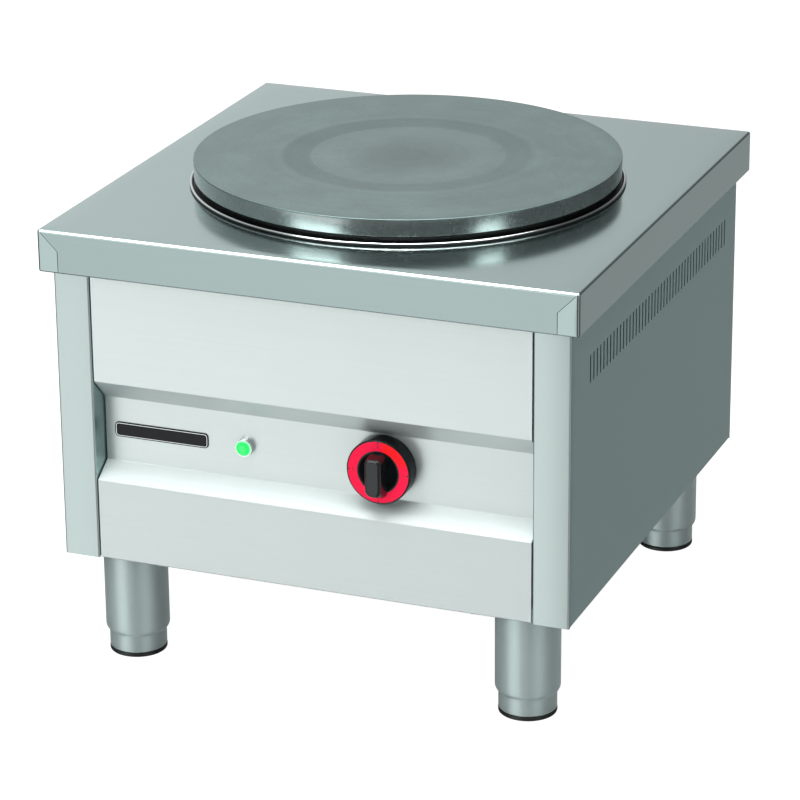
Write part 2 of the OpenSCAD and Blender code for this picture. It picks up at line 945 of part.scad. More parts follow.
module rotary_switch() {
    color([0.2, 0.2, 0.22])
        difference() {
            block(
                [knob_x - switch_w / 2, recess_back_y, control_z - switch_w / 2],
                [knob_x + switch_w / 2, switch_back_y, control_z + switch_w / 2]
            );
            rod_y(
                knob_x, control_z, recess_back_y - 1, recess_back_y + 31, shaft_d / 2 + running_fit
            );
            for (side = [-1, 1])
                rod_y(
                    knob_x + side * switch_screw_x, control_z, recess_back_y - 1,
                    recess_back_y + 8, screw_d / 2
                );
        }
}

// Places of the wire terminals on the back of the switch, in X and Z.
OUTPUTS = [
    [output_x, output_zs[0]], [output_x, output_zs[1]], [output_x, output_zs[2]],
    [common_output_x, common_output_z]
];
INPUTS = [for (x = INPUT_XS) [x, input_z]];
LAMP_TAPS = [[output_x - 9, control_z - 4], [output_x - 9, control_z + 4]];

module switch_terminals() {
    color(BRASS)
        for (p = concat(OUTPUTS, INPUTS, LAMP_TAPS))
            block(
                [p[0] - 2, switch_back_y, p[1] - 1],
                [p[0] + 2, wire_start_y, p[1] + 1]
            );
}

module switch_screws() {
    color(ZINC)
        on_recess(knob_x)
            for (side = [-1, 1])
                translate([side * switch_screw_x, 0, 0])
                    pan_screw(screw_d, wall_t + 8);
}

// Outline of the shaft's flatted end.
module flatted(d) {
    intersection() {
        circle(d = d);
        translate([-d / 2, -d / 2])
            square([d, 0.75 * d]);
    }
}

bore_z0 = 4;
bore_z1 = 17;

module switch_shaft() {
    color(ZINC)
        on_recess(knob_x) {
            translate([0, 0, -wall_t - 30])
                cylinder(d = shaft_d, h = wall_t + 30 + bore_z0 - 1);
            translate([0, 0, bore_z0 - 1])
                linear_extrude(bore_z1 - bore_z0 + 1)
                    flatted(shaft_d);
        }
}

dial_outer_r = knob_d / 2 - 1.5;
dial_inner_r = 0.66 * knob_d / 2;
dial_t = 1;

// Moulded drum with a ring groove, a grip bar that points down at rest, and finger hollows beside it.
module knob() {
    r = knob_d / 2;
    wall = 2.5;
    edge = 1;
    cavity_z = knob_h - hollow_depth - 2;
    hub_r = 8;
    outline = concat(
        [[0, bore_z0], [hub_r, bore_z0], [hub_r, cavity_z], [r - wall, cavity_z]],
        [[r - wall, knob_gap], [r, knob_gap]],
        arc([r - edge, knob_h - edge], edge, 0, 90, 3),
        [[dial_outer_r, knob_h], [dial_outer_r, knob_h - dial_t]],
        [[dial_inner_r, knob_h - dial_t], [dial_inner_r, knob_h], [0, knob_h]]
    );
    color(BLACK)
        on_recess(knob_x)
            difference() {
                union() {
                    rotate_extrude()
                        polygon(outline);
                    grip();
                }
                finger_hollows();
                translate([0, 0, bore_z0 - 1])
                    linear_extrude(bore_z1 - bore_z0 + 1)
                        flatted(shaft_d);
            }
}

module finger_hollows() {
    translate([0, 0, knob_h - hollow_depth])
        difference() {
            cylinder(r = dial_inner_r - 1, h = hollow_depth + 1);
            translate([-grip_w / 2 - grip_draft, -knob_d, -1])
                cube([grip_w + 2 * grip_draft, 2 * knob_d, hollow_depth + 3]);
        }
}

grip_draft = 1;
grip_up_slope = 2;
grip_down_slope = 6;

// Bar whose sides and ends lean in towards its front: where its side view and its end view meet.
module grip() {
    foot_up = grip_up + grip_up_slope;
    foot_down = grip_down + grip_down_slope;
    foot_w = grip_w + 2 * grip_draft;
    top = knob_h + grip_h;
    intersection() {
        translate([-foot_w / 2, 0, 0])
            rotate([90, 0, 90])
                linear_extrude(foot_w)
                    polygon([
                        [-foot_down, knob_h], [foot_up, knob_h], [grip_up, top], [-grip_down, top]
                    ]);
        translate([0, foot_up, 0])
            rotate([90, 0, 0])
                linear_extrude(foot_up + foot_down)
                    polygon([
                        [-foot_w / 2, knob_h], [foot_w / 2, knob_h],
                        [grip_w / 2, top], [-grip_w / 2, top]
                    ]);
    }
}

module dial_ring() {
    color([0.86, 0.05, 0.16])
        on_recess(knob_x)
            translate([0, 0, knob_h - dial_t])
                difference() {
                    cylinder(r = dial_outer_r, h = dial_t);
                    translate([0, 0, -1])
                        cylinder(r = dial_inner_r, h = dial_t + 2);
                }
}

lamp_body_r = 0.37 * lens_d;
lamp_hole_r = lamp_body_r + 0.2;
bezel_r = lens_d / 2 + bezel_wall;

module lamp_lens() {
    r = lens_d / 2;
    outline = concat(
        [[0, 0], [r, 0], [r, bezel_h]],
        [for (a = [15:15:90]) [r * cos(a), bezel_h + lens_crown * sin(a)]]
    );
    color([0.05, 0.75, 0.35])
        on_recess(-lamp_x)
            rotate_extrude()
                polygon(outline);
}

module lamp_bezel() {
    color([0.9, 0.9, 0.9])
        on_recess(-lamp_x)
            difference() {
                cylinder(r = bezel_r, h = bezel_h);
                translate([0, 0, -1])
                    cylinder(r = lens_d / 2, h = bezel_h + 2);
            }
}

module lamp_body() {
    color(BLACK)
        on_recess(-lamp_x)
            translate([0, 0, -wall_t - 30])
                cylinder(r = lamp_body_r, h = wall_t + 30);
}

module lamp_nut() {
    color(ZINC)
        on_recess(-lamp_x)
            translate([0, 0, -wall_t - 4])
                difference() {
                    hex(2.8 * lamp_body_r, 4);
                    translate([0, 0, -1])
                        cylinder(r = lamp_body_r, h = 6);
                }
}

module badge_plate() {
    corner = 4;
    color(BLACK)
        on_recess(-badge_x)
            linear_extrude(1)
                union() {
                    square([badge_w - 2 * corner, badge_h], center = true);
                    square([badge_w, badge_h - 2 * corner], center = true);
                    for (x = [-1, 1], y = [-1, 1])
                        translate([x * (badge_w / 2 - corner), y * (badge_h / 2 - corner)])
                            circle(r = corner);
                }
}

// ---- supply ----

SUPPLY_XS = [for (i = [-2:2]) supply_x + i * input_pitch];

module supply_terminal_block() {
    color(CERAMIC)
        difference() {
            block(
                [supply_x - supply_block_w / 2, supply_y - supply_block_d / 2, pan_top_z],
                [
                    supply_x + supply_block_w / 2, supply_y + supply_block_d / 2,
                    pan_top_z + supply_block_h
                ]
            );
            for (x = SUPPLY_XS)
                translate([x, supply_y, pan_top_z + supply_block_h - 8])
                    cylinder(d = screw_d, h = 9);
        }
}

module supply_terminal_screws() {
    color(BRASS)
        for (x = SUPPLY_XS)
            translate([x, supply_y, pan_top_z + supply_block_h])
                pan_screw(screw_d, 8);
}

gland_bore_r = cable_bore_d / 2;
gland_thread_r = gland_thread_d / 2;
gland_lower_z = pan_z - gland_hex_h;

module gland_body() {
    color(BLACK)
        translate([supply_x, gland_y, 0])
            difference() {
                union() {
                    translate([0, 0, gland_lower_z])
                        hex(gland_af, gland_hex_h);
                    translate([0, 0, gland_lower_z - 8])
                        cylinder(r = gland_thread_r, h = gland_hex_h + 8 + wall_t + 8);
                }
                translate([0, 0, gland_lower_z - 9])
                    cylinder(r = gland_bore_r, h = gland_hex_h + wall_t + 18);
            }
}

module gland_dome_nut() {
    top = gland_lower_z;
    foot = top - gland_dome_h;
    r = gland_af / 2 - 0.5;
    outline = [
        [gland_bore_r, foot], [gland_bore_r + 3, foot], [r - 2, foot + 4], [r, foot + 9],
        [r, top], [gland_thread_r, top], [gland_thread_r, top - 8], [gland_bore_r, top - 8]
    ];
    color(BLACK)
        translate([supply_x, gland_y, 0])
            rotate_extrude()
                polygon(outline);
}

module gland_locknut() {
    color(BLACK)
        translate([supply_x, gland_y, pan_top_z])
            difference() {
                hex(gland_af, 5);
                translate([0, 0, -1])
                    cylinder(r = gland_thread_r, h = 7);
            }
}

bond_end_y = back_y + 9;
bond_nut_y = back_y - wall_t;
bond_root_y = bond_nut_y - wall_t - bond_nut_h - 4;
undercut = 0.7;

// Stud with an undercut between the clamped stretch and the free end.
module bonding_stud() {
    r = bond_stud_d / 2;
    free_y = bond_nut_y + bond_nut_h;
    color(BRASS) {
        rod_y(bond_x, bond_z, bond_root_y, free_y, r);
        rod_y(bond_x, bond_z, free_y, free_y + undercut, r - 0.4);
        rod_y(bond_x, bond_z, free_y + undercut, bond_end_y, r);
    }
}

module bonding_nuts() {
    color(BRASS)
        for (y = [bond_nut_y, bond_nut_y - wall_t - bond_nut_h])
            translate([bond_x, y, bond_z])
                rotate([-90, 0, 0])
                    difference() {
                        hex(bond_nut_af, bond_nut_h);
                        translate([0, 0, -1])
                            cylinder(d = bond_stud_d, h = bond_nut_h + 2);
                    }
}

// ---- wires ----

// One wire from each switch output back and across to the place under its pin, and up to it.
module plate_wires() {
    color([0.75, 0.7, 0.6])
        for (i = [0:3]) {
            x = OUTPUTS[i][0];
            z = OUTPUTS[i][1];
            wire(without_repeats([
                [x, wire_start_y, z], [x, PINS[i][1], z], [PINS[i][0], PINS[i][1], z],
                [PINS[i][0], PINS[i][1], pin_foot_z]
            ]));
        }
}

module supply_wires() {
    drop_y = supply_y - 80;
    block_front_y = supply_y - supply_block_d / 2;
    block_back_y = supply_y + supply_block_d / 2;
    earth_x = SUPPLY_XS[4];
    color([0.35, 0.25, 0.2]) {
        for (x = INPUT_XS)
            wire([
                [x, wire_start_y, input_z], [x, drop_y, input_z], [x, drop_y, supply_wire_z],
                [x, block_front_y, supply_wire_z]
            ]);
        wire([
            [earth_x, block_back_y, supply_wire_z], [earth_x, block_back_y + 25, supply_wire_z],
            [bond_x, block_back_y + 25, supply_wire_z], [bond_x, block_back_y + 25, bond_z],
            [bond_x, bond_root_y, bond_z]
        ]);
    }
}

module lamp_wires() {
    lamp_back_y = recess_back_y + 30;
    color([0.2, 0.3, 0.6])
        for (side = [-1, 1]) {
            x = -lamp_x + 3 * side;
            z = control_z + 4 * side;
            turn_y = wire_start_y + 20 - 5 * side;
            wire([
                [x, lamp_back_y, control_z], [x, turn_y, control_z], [x, turn_y, z],
                [LAMP_TAPS[0][0], turn_y, z], [LAMP_TAPS[0][0], wire_start_y, z]
            ]);
        }
}

// ---- the parts ----

worktop();
left_side_panel();
right_side_panel();
front_panel();
back_panel();
bottom_pan();
stiffener(-1);  // left_stiffener
stiffener(1);  // right_stiffener
hot_plate();
trim_ring();
embedding_compound();
outer_coil();
middle_coil();
inner_coil();
plate_base_cover();
centre_stud();
mounting_bridge();
bridge_washer();
bridge_nut();
plate_terminal_block();
plate_terminal_pins();
heat_shield();
insulation_pad();
rotary_switch();
switch_terminals();
switch_screws();
switch_shaft();
knob();
dial_ring();
lamp_lens();
lamp_bezel();
lamp_body();
lamp_nut();
badge_plate();
supply_terminal_block();
supply_terminal_screws();
gland_body();
gland_dome_nut();
gland_locknut();
bonding_stud();
bonding_nuts();
plate_wires();
supply_wires();
lamp_wires();
panel_screws();
worktop_nuts();
leg_bolts();
leg_nuts();
leg_tube(FRONT_LEFT);  // leg_tube_front_left
leg_tube(FRONT_RIGHT);  // leg_tube_front_right
leg_tube(BACK_LEFT);  // leg_tube_back_left
leg_tube(BACK_RIGHT);  // leg_tube_back_right
foot_sleeve(FRONT_LEFT);  // foot_sleeve_front_left
foot_sleeve(FRONT_RIGHT);  // foot_sleeve_front_right
foot_sleeve(BACK_LEFT);  // foot_sleeve_back_left
foot_sleeve(BACK_RIGHT);  // foot_sleeve_back_right
foot_pad(FRONT_LEFT);  // foot_pad_front_left
foot_pad(FRONT_RIGHT);  // foot_pad_front_right
foot_pad(BACK_LEFT);  // foot_pad_back_left
foot_pad(BACK_RIGHT);  // foot_pad_back_right
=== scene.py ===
"""Looks of a free-standing electric stove with one round cast-iron hot plate.

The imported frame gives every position. Visible sheets, castings, legs and controls are rebuilt here as
worked-out surfaces with rounded bends, and the other nodes keep their meshes and get a finish.
All lengths are in metres: X runs to the right, Y to the back and Z up from the floor.
"""
import logging
import math
from collections.abc import Iterable, Sequence
from dataclasses import dataclass, field
from enum import Enum

import bmesh
import bpy
import numpy as np
from mathutils import Matrix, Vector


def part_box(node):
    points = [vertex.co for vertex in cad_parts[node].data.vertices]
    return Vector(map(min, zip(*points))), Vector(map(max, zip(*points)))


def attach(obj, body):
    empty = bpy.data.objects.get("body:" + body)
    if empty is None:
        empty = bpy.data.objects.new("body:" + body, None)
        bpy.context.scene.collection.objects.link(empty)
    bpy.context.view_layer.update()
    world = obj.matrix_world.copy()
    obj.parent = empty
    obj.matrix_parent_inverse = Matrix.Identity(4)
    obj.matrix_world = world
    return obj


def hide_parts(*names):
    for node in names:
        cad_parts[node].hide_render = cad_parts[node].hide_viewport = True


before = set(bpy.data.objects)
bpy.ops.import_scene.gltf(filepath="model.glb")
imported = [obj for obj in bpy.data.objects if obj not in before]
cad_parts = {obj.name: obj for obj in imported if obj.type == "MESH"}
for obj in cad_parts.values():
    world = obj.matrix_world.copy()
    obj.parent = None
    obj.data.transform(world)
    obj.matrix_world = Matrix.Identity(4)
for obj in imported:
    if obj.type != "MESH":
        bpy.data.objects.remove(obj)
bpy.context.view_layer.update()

LOG = logging.getLogger("stove")
MM = 0.001
WELD = 2e-6
Colour = tuple[float, float, float]
Array = np.ndarray


# ---------------------------------------------------------------- shader graph


@dataclass(frozen=True)
class Value:
    """A socket that takes part in Python expressions; each operator adds one Math node."""

    graph: "Graph"
    socket: bpy.types.NodeSocket

    def _math(self, operation: str, first: "Value | float", second: "Value | float") -> "Value":
        """Adds a Math node with two inputs and returns its result."""
        return self.graph.add("Math", {"operation": operation}, {0: first, 1: second})

    def __add__(self, other: "Value | float") -> "Value":
        """Sum of this value and another."""
        return self._math("ADD", self, other)

    def __radd__(self, other: float) -> "Value":
        """Sum of a number and this value."""
        return self._math("ADD", other, self)

    def __sub__(self, other: "Value | float") -> "Value":
        """This value less another."""
        return self._math("SUBTRACT", self, other)

    def __rsub__(self, other: float) -> "Value":
        """A number less this value."""
        return self._math("SUBTRACT", other, self)

    def __mul__(self, other: "Value | float") -> "Value":
        """Product of this value and another."""
        return self._math("MULTIPLY", self, other)

    def __rmul__(self, other: float) -> "Value":
        """Product of a number and this value."""
        return self._math("MULTIPLY", other, self)

    def __abs__(self) -> "Value":
        """Size of this value without its sign."""
        return self._math("ABSOLUTE", self, 0.0)

    def bearing(self, back: "Value") -> "Value":
        """Angle in degrees of the direction with this rightward and that backward part, from the front."""
        return self._math("ARCTAN2", self, back * -1.0) * math.degrees(1.0)

    def ramp(self, low: float, high: float) -> "Value":
        """Rises smoothly from 0 at low to 1 at high; low may be the larger of the two.

        Args:
            low: where the result is 0.
            high: where the result is 1.

        Returns:
            The smoothed step.
        """
        return self.graph.add(
            "MapRange",
            {"interpolation_type": "SMOOTHSTEP"},
            {"Value": self, "From Min": low, "From Max": high},
        )

    def band(self, low: float, high: float, soft: float) -> "Value":
        """1 between low and high and 0 outside, with edges that are soft on both sides."""
        return self.ramp(low - soft, low + soft) * self.ramp(high + soft, high - soft)


@dataclass
class Graph:
    """Node tree of one material or world, filled through one method."""

    tree: bpy.types.NodeTree

    def add(
        self,
        kind: str,
        settings: dict[str, object] | None = None,
        sockets: dict[str | int, object] | None = None,
        output: str | int = 0,
    ) -> Value:
        """Adds a node, sets it up and feeds its sockets.

        Args:
            kind: node type without its ShaderNode prefix.
            settings: the node's own settings, which are set first.
            sockets: values or links by socket name or number.
            output: the socket that is returned.

        Returns:
            The chosen output as a value.
        """
        node = self.tree.nodes.new("ShaderNode" + kind)
        for name, setting in (settings or {}).items():
            setattr(node, name, setting)
        for name, value in (sockets or {}).items():
            if isinstance(value, Value):
                self.tree.links.new(value.socket, node.inputs[name])
            else:
                node.inputs[name].default_value = value
        return Value(self, node.outputs[output] if node.outputs else None)

    def point(self) -> Value:
        """Position in the stove's frame."""
        return self.add("TexCoord", output="Object")

    def parts(self, vector: Value) -> tuple[Value, Value, Value]:
        """The three components of a vector."""
        split = self.add("SeparateXYZ", sockets={0: vector})
        node = split.socket.node
        return split, Value(self, node.outputs[1]), Value(self, node.outputs[2])

    def stretched(self, vector: Value, scale: Colour) -> Value:
        """The vector with each component multiplied by its own number."""
        return self.add("VectorMath", {"operation": "MULTIPLY"}, {0: vector, 1: scale})

    def length(self, vector: Value) -> Value:
        """Length of a vector."""
        return self.add("VectorMath", {"operation": "LENGTH"}, {0: vector}, "Value")

    def noise(self, vector: Value, scale: float, detail: float = 2.0) -> Value:
        """Soft noise from 0 to 1 round one half."""
        return self.add("TexNoise", sockets={"Vector": vector, "Scale": scale, "Detail": detail})

    def line_noise(self, along: Value, scale: float, detail: float = 3.0) -> Value:
        """Noise that changes with one number only."""
        settings = {"noise_dimensions": "1D"}
        return self.add("TexNoise", settings, {"W": along, "Scale": scale, "Detail": detail})

    def cells(self, vector: Value, scale: float) -> Value:
        """Distance to the nearest point of a scattered set."""
        return self.add("TexVoronoi", {"feature": "F1"}, {"Vector": vector, "Scale": scale})

    def mix(self, share: Value | float, low: Colour | Value, high: Colour | Value) -> Value:
        """Blend of two colours.

        Args:
            share: 0 gives low and 1 gives high.
            low: first colour.
            high: second colour.

        Returns:
            The blended colour.
        """
        full = [(*c, 1.0) if isinstance(c, tuple) else c for c in (low, high)]
        return self.add("Mix", {"data_type": "RGBA"}, {0: share, 6: full[0], 7: full[1]}, 2)

    def tinted(self, colour: Value, share: Value | float, tone: float) -> Value:
        """The colour, multiplied by tone where share is 1."""
        factor = self.mix(share, (1.0, 1.0, 1.0), (tone, tone, tone))
        settings = {"data_type": "RGBA", "blend_type": "MULTIPLY"}
        return self.add("Mix", settings, {0: 1.0, 6: colour, 7: factor}, 2)

    def bump(self, height: Value, depth: float, under: Value | None = None) -> Value:
        """Surface normal tilted by a height field.

        Args:
            height: relief from 0 to 1.
            depth: metres from its foot to its top.
            under: a bump that this one lies on.

        Returns:
            The tilted normal.
        """
        sockets: dict[str | int, object] = {"Height": height, "Distance": depth, "Strength": 1.0}
        if under is not None:
            sockets["Normal"] = under
        return self.add("Bump", sockets=sockets)


def shade(name: str, constants: dict[str, object], varying: dict[str, Value], graph: Graph) -> None:
    """Ends a material's graph in one shader.

    Args:
        name: the material's name, for the log.
        constants: numbers and colours that are the same all over.
        varying: what changes over the surface.
        graph: the material's graph.
    """
    shader = graph.add("BsdfPrincipled", sockets={**constants, **varying})
    graph.add("OutputMaterial", sockets={"Surface": shader})
    LOG.debug("finish %s", name)


def new_graph(name: str) -> tuple[bpy.types.Material, Graph]:
    """An empty material and its graph."""
    material = bpy.data.materials.new(name)
    material.use_nodes = True
    material.node_tree.nodes.clear()
    return material, Graph(material.node_tree)


def scaled(colour: Colour, factor: float) -> Colour:
    """A colour made lighter or darker."""
    return tuple(min(1.0, c * factor) for c in colour)


# ---------------------------------------------------------------- finishes


class Grain(Enum):
    """Direction of the brushing, as how fast the scratches change along X, Y and Z."""

    ALONG_X = (5.0, 900.0, 900.0)
    ALONG_Z = (900.0, 900.0, 6.0)
    NONE = (260.0, 260.0, 260.0)


@dataclass(frozen=True)
class BrushedSteel:
    """Metal sheet with long scratches along one axis and cloudy smudges."""

    name: str
    colour: Colour
    roughness: float
    grain: Grain
    scratch_depth: float = 4e-6
    streak: float = 0.10
    haze: float = 0.08
    metallic: float = 1.0
    contrast: float = 0.04
    smudge_scale: float = 11.0

    def varying(self, graph: Graph) -> dict[str, Value]:
        """What changes over the sheet: colour, roughness and normal.

        Args:
            graph: the material's graph.

        Returns:
            Values by shader socket.
        """
        point = graph.point()
        scratches = graph.noise(graph.stretched(point, self.grain.value), 1.0, 3.0)
        broad = graph.noise(graph.stretched(point, tuple(g / 4 for g in self.grain.value)), 1.0)
        smudge = graph.noise(point, self.smudge_scale, 4.0)
        marks = (scratches + broad) * 0.5
        rough = self.streak * (marks - 0.5) + self.haze * (smudge - 0.5) + self.roughness
        low, high = scaled(self.colour, 1 - self.contrast), scaled(self.colour, 1 + self.contrast)
        return {
            "Base Color": graph.mix(marks, low, high),
            "Roughness": rough,
            "Normal": graph.bump(scratches, self.scratch_depth),
        }

    def material(self) -> bpy.types.Material:
        """The sheet's material."""
        material, graph = new_graph(self.name)
        shade(self.name, {"Metallic": self.metallic}, self.varying(graph), graph)
        return material


@dataclass(frozen=True)
class WorktopSteel(BrushedSteel):
    """Polished worktop sheet, whose front skirt and corner tabs are darker than its top: painted shade."""

    front_y: float = -0.2565
    skirt_top: float = 0.4194
    skirt_painted_shade: float = 0.53
    tab_painted_shade: float = 0.625
    tab_x: float = 0.2375
    edge_x: float = 0.2541

    def varying(self, graph: Graph) -> dict[str, Value]:
        """The plain sheet's values, with painted shade that darkens the front skirt and, a little less, its
        tabs.
        """
        values = super().varying(graph)
        x, y, z = graph.parts(graph.point())
        front = z.ramp(self.skirt_top + 0.0004, self.skirt_top - 0.0004)
        front = front * y.ramp(self.front_y + 0.0005, self.front_y - 0.0005)
        mitre = (abs(x) - z).ramp(self.edge_x - self.skirt_top - 0.0002, self.edge_x - self.skirt_top)
        tab = mitre * abs(x).ramp(self.tab_x - 0.0001, self.tab_x + 0.0001)
        # painted shade: the skirt and its tabs are tinted darker than the top
        plain = graph.tinted(values["Base Color"], front * (1 - tab), self.skirt_painted_shade)
        values["Base Color"] = graph.tinted(plain, front * tab, self.tab_painted_shade)
        return values


@dataclass(frozen=True)
class FrontSteel(BrushedSteel):
    """Satin front sheet: duller on the recess's lower slope, with a painted highlight that makes it lighter
    there; painted shade makes its upper slope and the sheet below the recess darker.
    """

    lower_slope: tuple[float, float] = (0.1815, 0.1952)
    upper_slope: tuple[float, float] = (0.2574, 0.2782)
    soft: float = 0.001
    ceiling_painted_shade: float = 0.84
    foot_painted_shade: float = 0.88
    sill_painted_highlight: float = 1.15
    sill_dullness: float = 0.24
    sill_metal_loss: float = 0.2

    def varying(self, graph: Graph) -> dict[str, Value]:
        """The plain sheet's values, changed by height between the recess's bends: painted highlight and
        painted shade in the colour.
        """
        values = super().varying(graph)
        _, _, z = graph.parts(graph.point())
        sill = z.band(*self.lower_slope, self.soft)
        ceiling = z.band(*self.upper_slope, self.soft)
        foot = z.ramp(self.lower_slope[0] + self.soft, self.lower_slope[0] - self.soft)
        # painted shade darkens the upper slope and the sheet below the recess; a painted highlight lightens
        # the lower slope
        toned = graph.tinted(values["Base Color"], ceiling, self.ceiling_painted_shade)
        toned = graph.tinted(toned, sill, self.sill_painted_highlight)
        values["Base Color"] = graph.tinted(toned, foot, self.foot_painted_shade)
        values["Roughness"] = values["Roughness"] + self.sill_dullness * sill
        values["Metallic"] = self.metallic - self.sill_metal_loss * sill
        return values


@dataclass(frozen=True)
class SideSteel(BrushedSteel):
    """Side sheet, lighter on the corner posts it is folded into at the front, as painted light."""

    post_front: float = -0.2465
    post_painted_light: Colour = (0.49, 0.565, 0.552)

    def varying(self, graph: Graph) -> dict[str, Value]:
        """The plain sheet's values, with painted light that makes the posts' front faces lighter."""
        values = super().varying(graph)
        _, y, _ = graph.parts(graph.point())
        post = y.ramp(self.post_front + 0.0006, self.post_front + 0.0002)
        # painted light: the posts' front faces take a lighter colour than the side
        values["Base Color"] = graph.mix(post, values["Base Color"], self.post_painted_light)
        return values


@dataclass(frozen=True)
class TrimSteel(BrushedSteel):
    """Bright ring, with painted shade that makes the flat flange inside the bead and the underside of the
    bead dark.
    """

    bead_inner: float = 0.199
    bright_above: float = 0.4243
    flange_painted_shade: float = 0.05
    flange_dullness: float = 0.3

    def varying(self, graph: Graph) -> dict[str, Value]:
        """The plain metal's values, dark with painted shade and dull on the flange and under the bead."""
        values = super().varying(graph)
        radius = graph.length(graph.stretched(graph.point(), (1.0, 1.0, 0.0)))
        _, _, z = graph.parts(graph.point())
        flange = radius.ramp(self.bead_inner + 0.0004, self.bead_inner - 0.0004)
        under = z.ramp(self.bright_above + 0.0003, self.bright_above - 0.0006)
        dark = 1 - (1 - flange) * (1 - under)
        # painted shade: the flange and the bead's underside are tinted nearly black
        values["Base Color"] = graph.tinted(values["Base Color"], dark, self.flange_painted_shade)
        values["Roughness"] = values["Roughness"] + self.flange_dullness * dark
        return values


@dataclass(frozen=True)
class CastIron:
    """Machined cast iron: turning rings about the plate's axis, pores and cloudy heat marks."""

    name: str
    colour: Colour
    roughness: float
    ring_spacing: float = 0.0011
    ring_depth: float = 3e-6
    pore_depth: float = 2.5e-5
    slope_from: float = 0.091
    slope_to: float = 0.117
    top: float = 0.446
    side_height: float = 0.016
    side_roughness: float = 0.20
    side_colour: Colour = (0.36, 0.405, 0.40)
    slope_painted_shade: float = 0.84
    centre_painted_shade: float = 0.72
    under_painted_shade: float = 0.06

    def material(self) -> bpy.types.Material:
        """The casting's material."""
        material, graph = new_graph(self.name)
        point = graph.point()
        radius = graph.length(graph.stretched(point, (1.0, 1.0, 0.0)))
        rings = graph.line_noise(radius, 1.0 / self.ring_spacing)
        broad_rings = graph.line_noise(radius, 0.07 / self.ring_spacing)
        cloud = graph.noise(point, 26.0, 6.0)
        mottle = graph.noise(point, 260.0, 5.0)
        pores = graph.cells(point, 520.0).ramp(0.30, 0.12) * graph.noise(point, 90.0).ramp(0.5, 0.62)
        slope = radius.ramp(self.slope_from - 0.0006, self.slope_from + 0.0006)
        slope = slope * radius.ramp(self.slope_to + 0.005, self.slope_to - 0.005)
        tone = cloud * 0.35 + mottle * 0.35 + broad_rings * 0.3
        colour = graph.mix(tone, scaled(self.colour, 0.72), scaled(self.colour, 1.28))
        side_colour = graph.mix(tone, scaled(self.side_colour, 0.8), scaled(self.side_colour, 1.2))
        # painted shade: the slope and the centre are tinted darker
        colour = graph.tinted(colour, slope, self.slope_painted_shade)
        colour = graph.tinted(colour, radius.ramp(0.080, 0.010), self.centre_painted_shade)
        _, _, z = graph.parts(point)
        side = z.ramp(self.top - 0.0008, self.top - 0.0022)
        under = z.ramp(self.top - self.side_height + 0.0002, self.top - self.side_height - 0.0008)
        # painted shade: the collar below the side is tinted nearly black
        colour = graph.tinted(graph.mix(side, colour, side_colour), under, self.under_painted_shade)
        worn = graph.mix(pores * 0.7, colour, scaled(self.colour, 0.35))
        rough = self.roughness + 0.16 * (cloud - 0.5) + 0.14 * (mottle - 0.5) + 0.25 * pores
        rough = rough + (self.side_roughness - self.roughness) * (side * (1 - under))
        pitted = graph.bump(1 - pores, self.pore_depth)
        grain = graph.bump(mottle, 1.2e-5, pitted)
        values = {
            "Base Color": worn,
            "Roughness": rough,
            "Normal": graph.bump(rings, self.ring_depth, grain),
        }
        shade(self.name, {"Metallic": 0.92}, values, graph)
        return material


@dataclass(frozen=True)
class Zinc:
    """Galvanised sheet with the leaf-like spangle of zinc crystals."""

    name: str
    colour: Colour
    roughness: float
    spangle: float = 90.0

    def material(self) -> bpy.types.Material:
        """The zinc's material."""
        material, graph = new_graph(self.name)
        point = graph.point()
        crystal = graph.add(
            "TexVoronoi", None, {"Vector": point, "Scale": self.spangle}, "Color"
        )
        tone, _, _ = graph.parts(crystal)
        smudge = graph.noise(point, 14.0, 4.0)
        values = {
            "Base Color": graph.mix(tone, scaled(self.colour, 0.82), scaled(self.colour, 1.12)),
            "Roughness": self.roughness + 0.16 * (tone - 0.5) + 0.12 * (smudge - 0.5),
            "Normal": graph.bump(tone, 4e-6),
        }
        shade(self.name, {"Metallic": 1.0}, values, graph)
        return material


@dataclass(frozen=True)
class Moulded:
    """Plastic, porcelain, fibre or paint: a fine skin texture with slight changes of tone."""

    name: str
    colour: Colour
    roughness: float
    skin_scale: float = 900.0
    skin_depth: float = 4e-6
    contrast: float = 0.12
    coat: float = 0.0
    specular: float = 0.5
    coated_front: float | None = None
    front_coat: float = 0.6

    def material(self) -> bpy.types.Material:
        """The moulding's material."""
        material, graph = new_graph(self.name)
        point = graph.point()
        skin = graph.noise(point, self.skin_scale, 4.0)
        broad = graph.noise(point, 35.0, 4.0)
        tone = (skin + broad) * 0.5
        low, high = 1 - self.contrast, 1 + self.contrast
        values = {
            "Base Color": graph.mix(tone, scaled(self.colour, low), scaled(self.colour, high)),
            "Roughness": self.roughness + 0.12 * (broad - 0.5) + 0.08 * (skin - 0.5),
            "Normal": graph.bump(skin, self.skin_depth),
        }
        constants = {"Specular IOR Level": self.specular, "Coat Weight": self.coat, "Coat Roughness": 0.06}
        if self.coated_front is not None:
            _, y, _ = graph.parts(point)
            ahead = y.ramp(self.coated_front + 0.0005, self.coated_front - 0.0005)
            values["Coat Weight"] = self.front_coat * ahead
        shade(self.name, constants, values, graph)
        return material


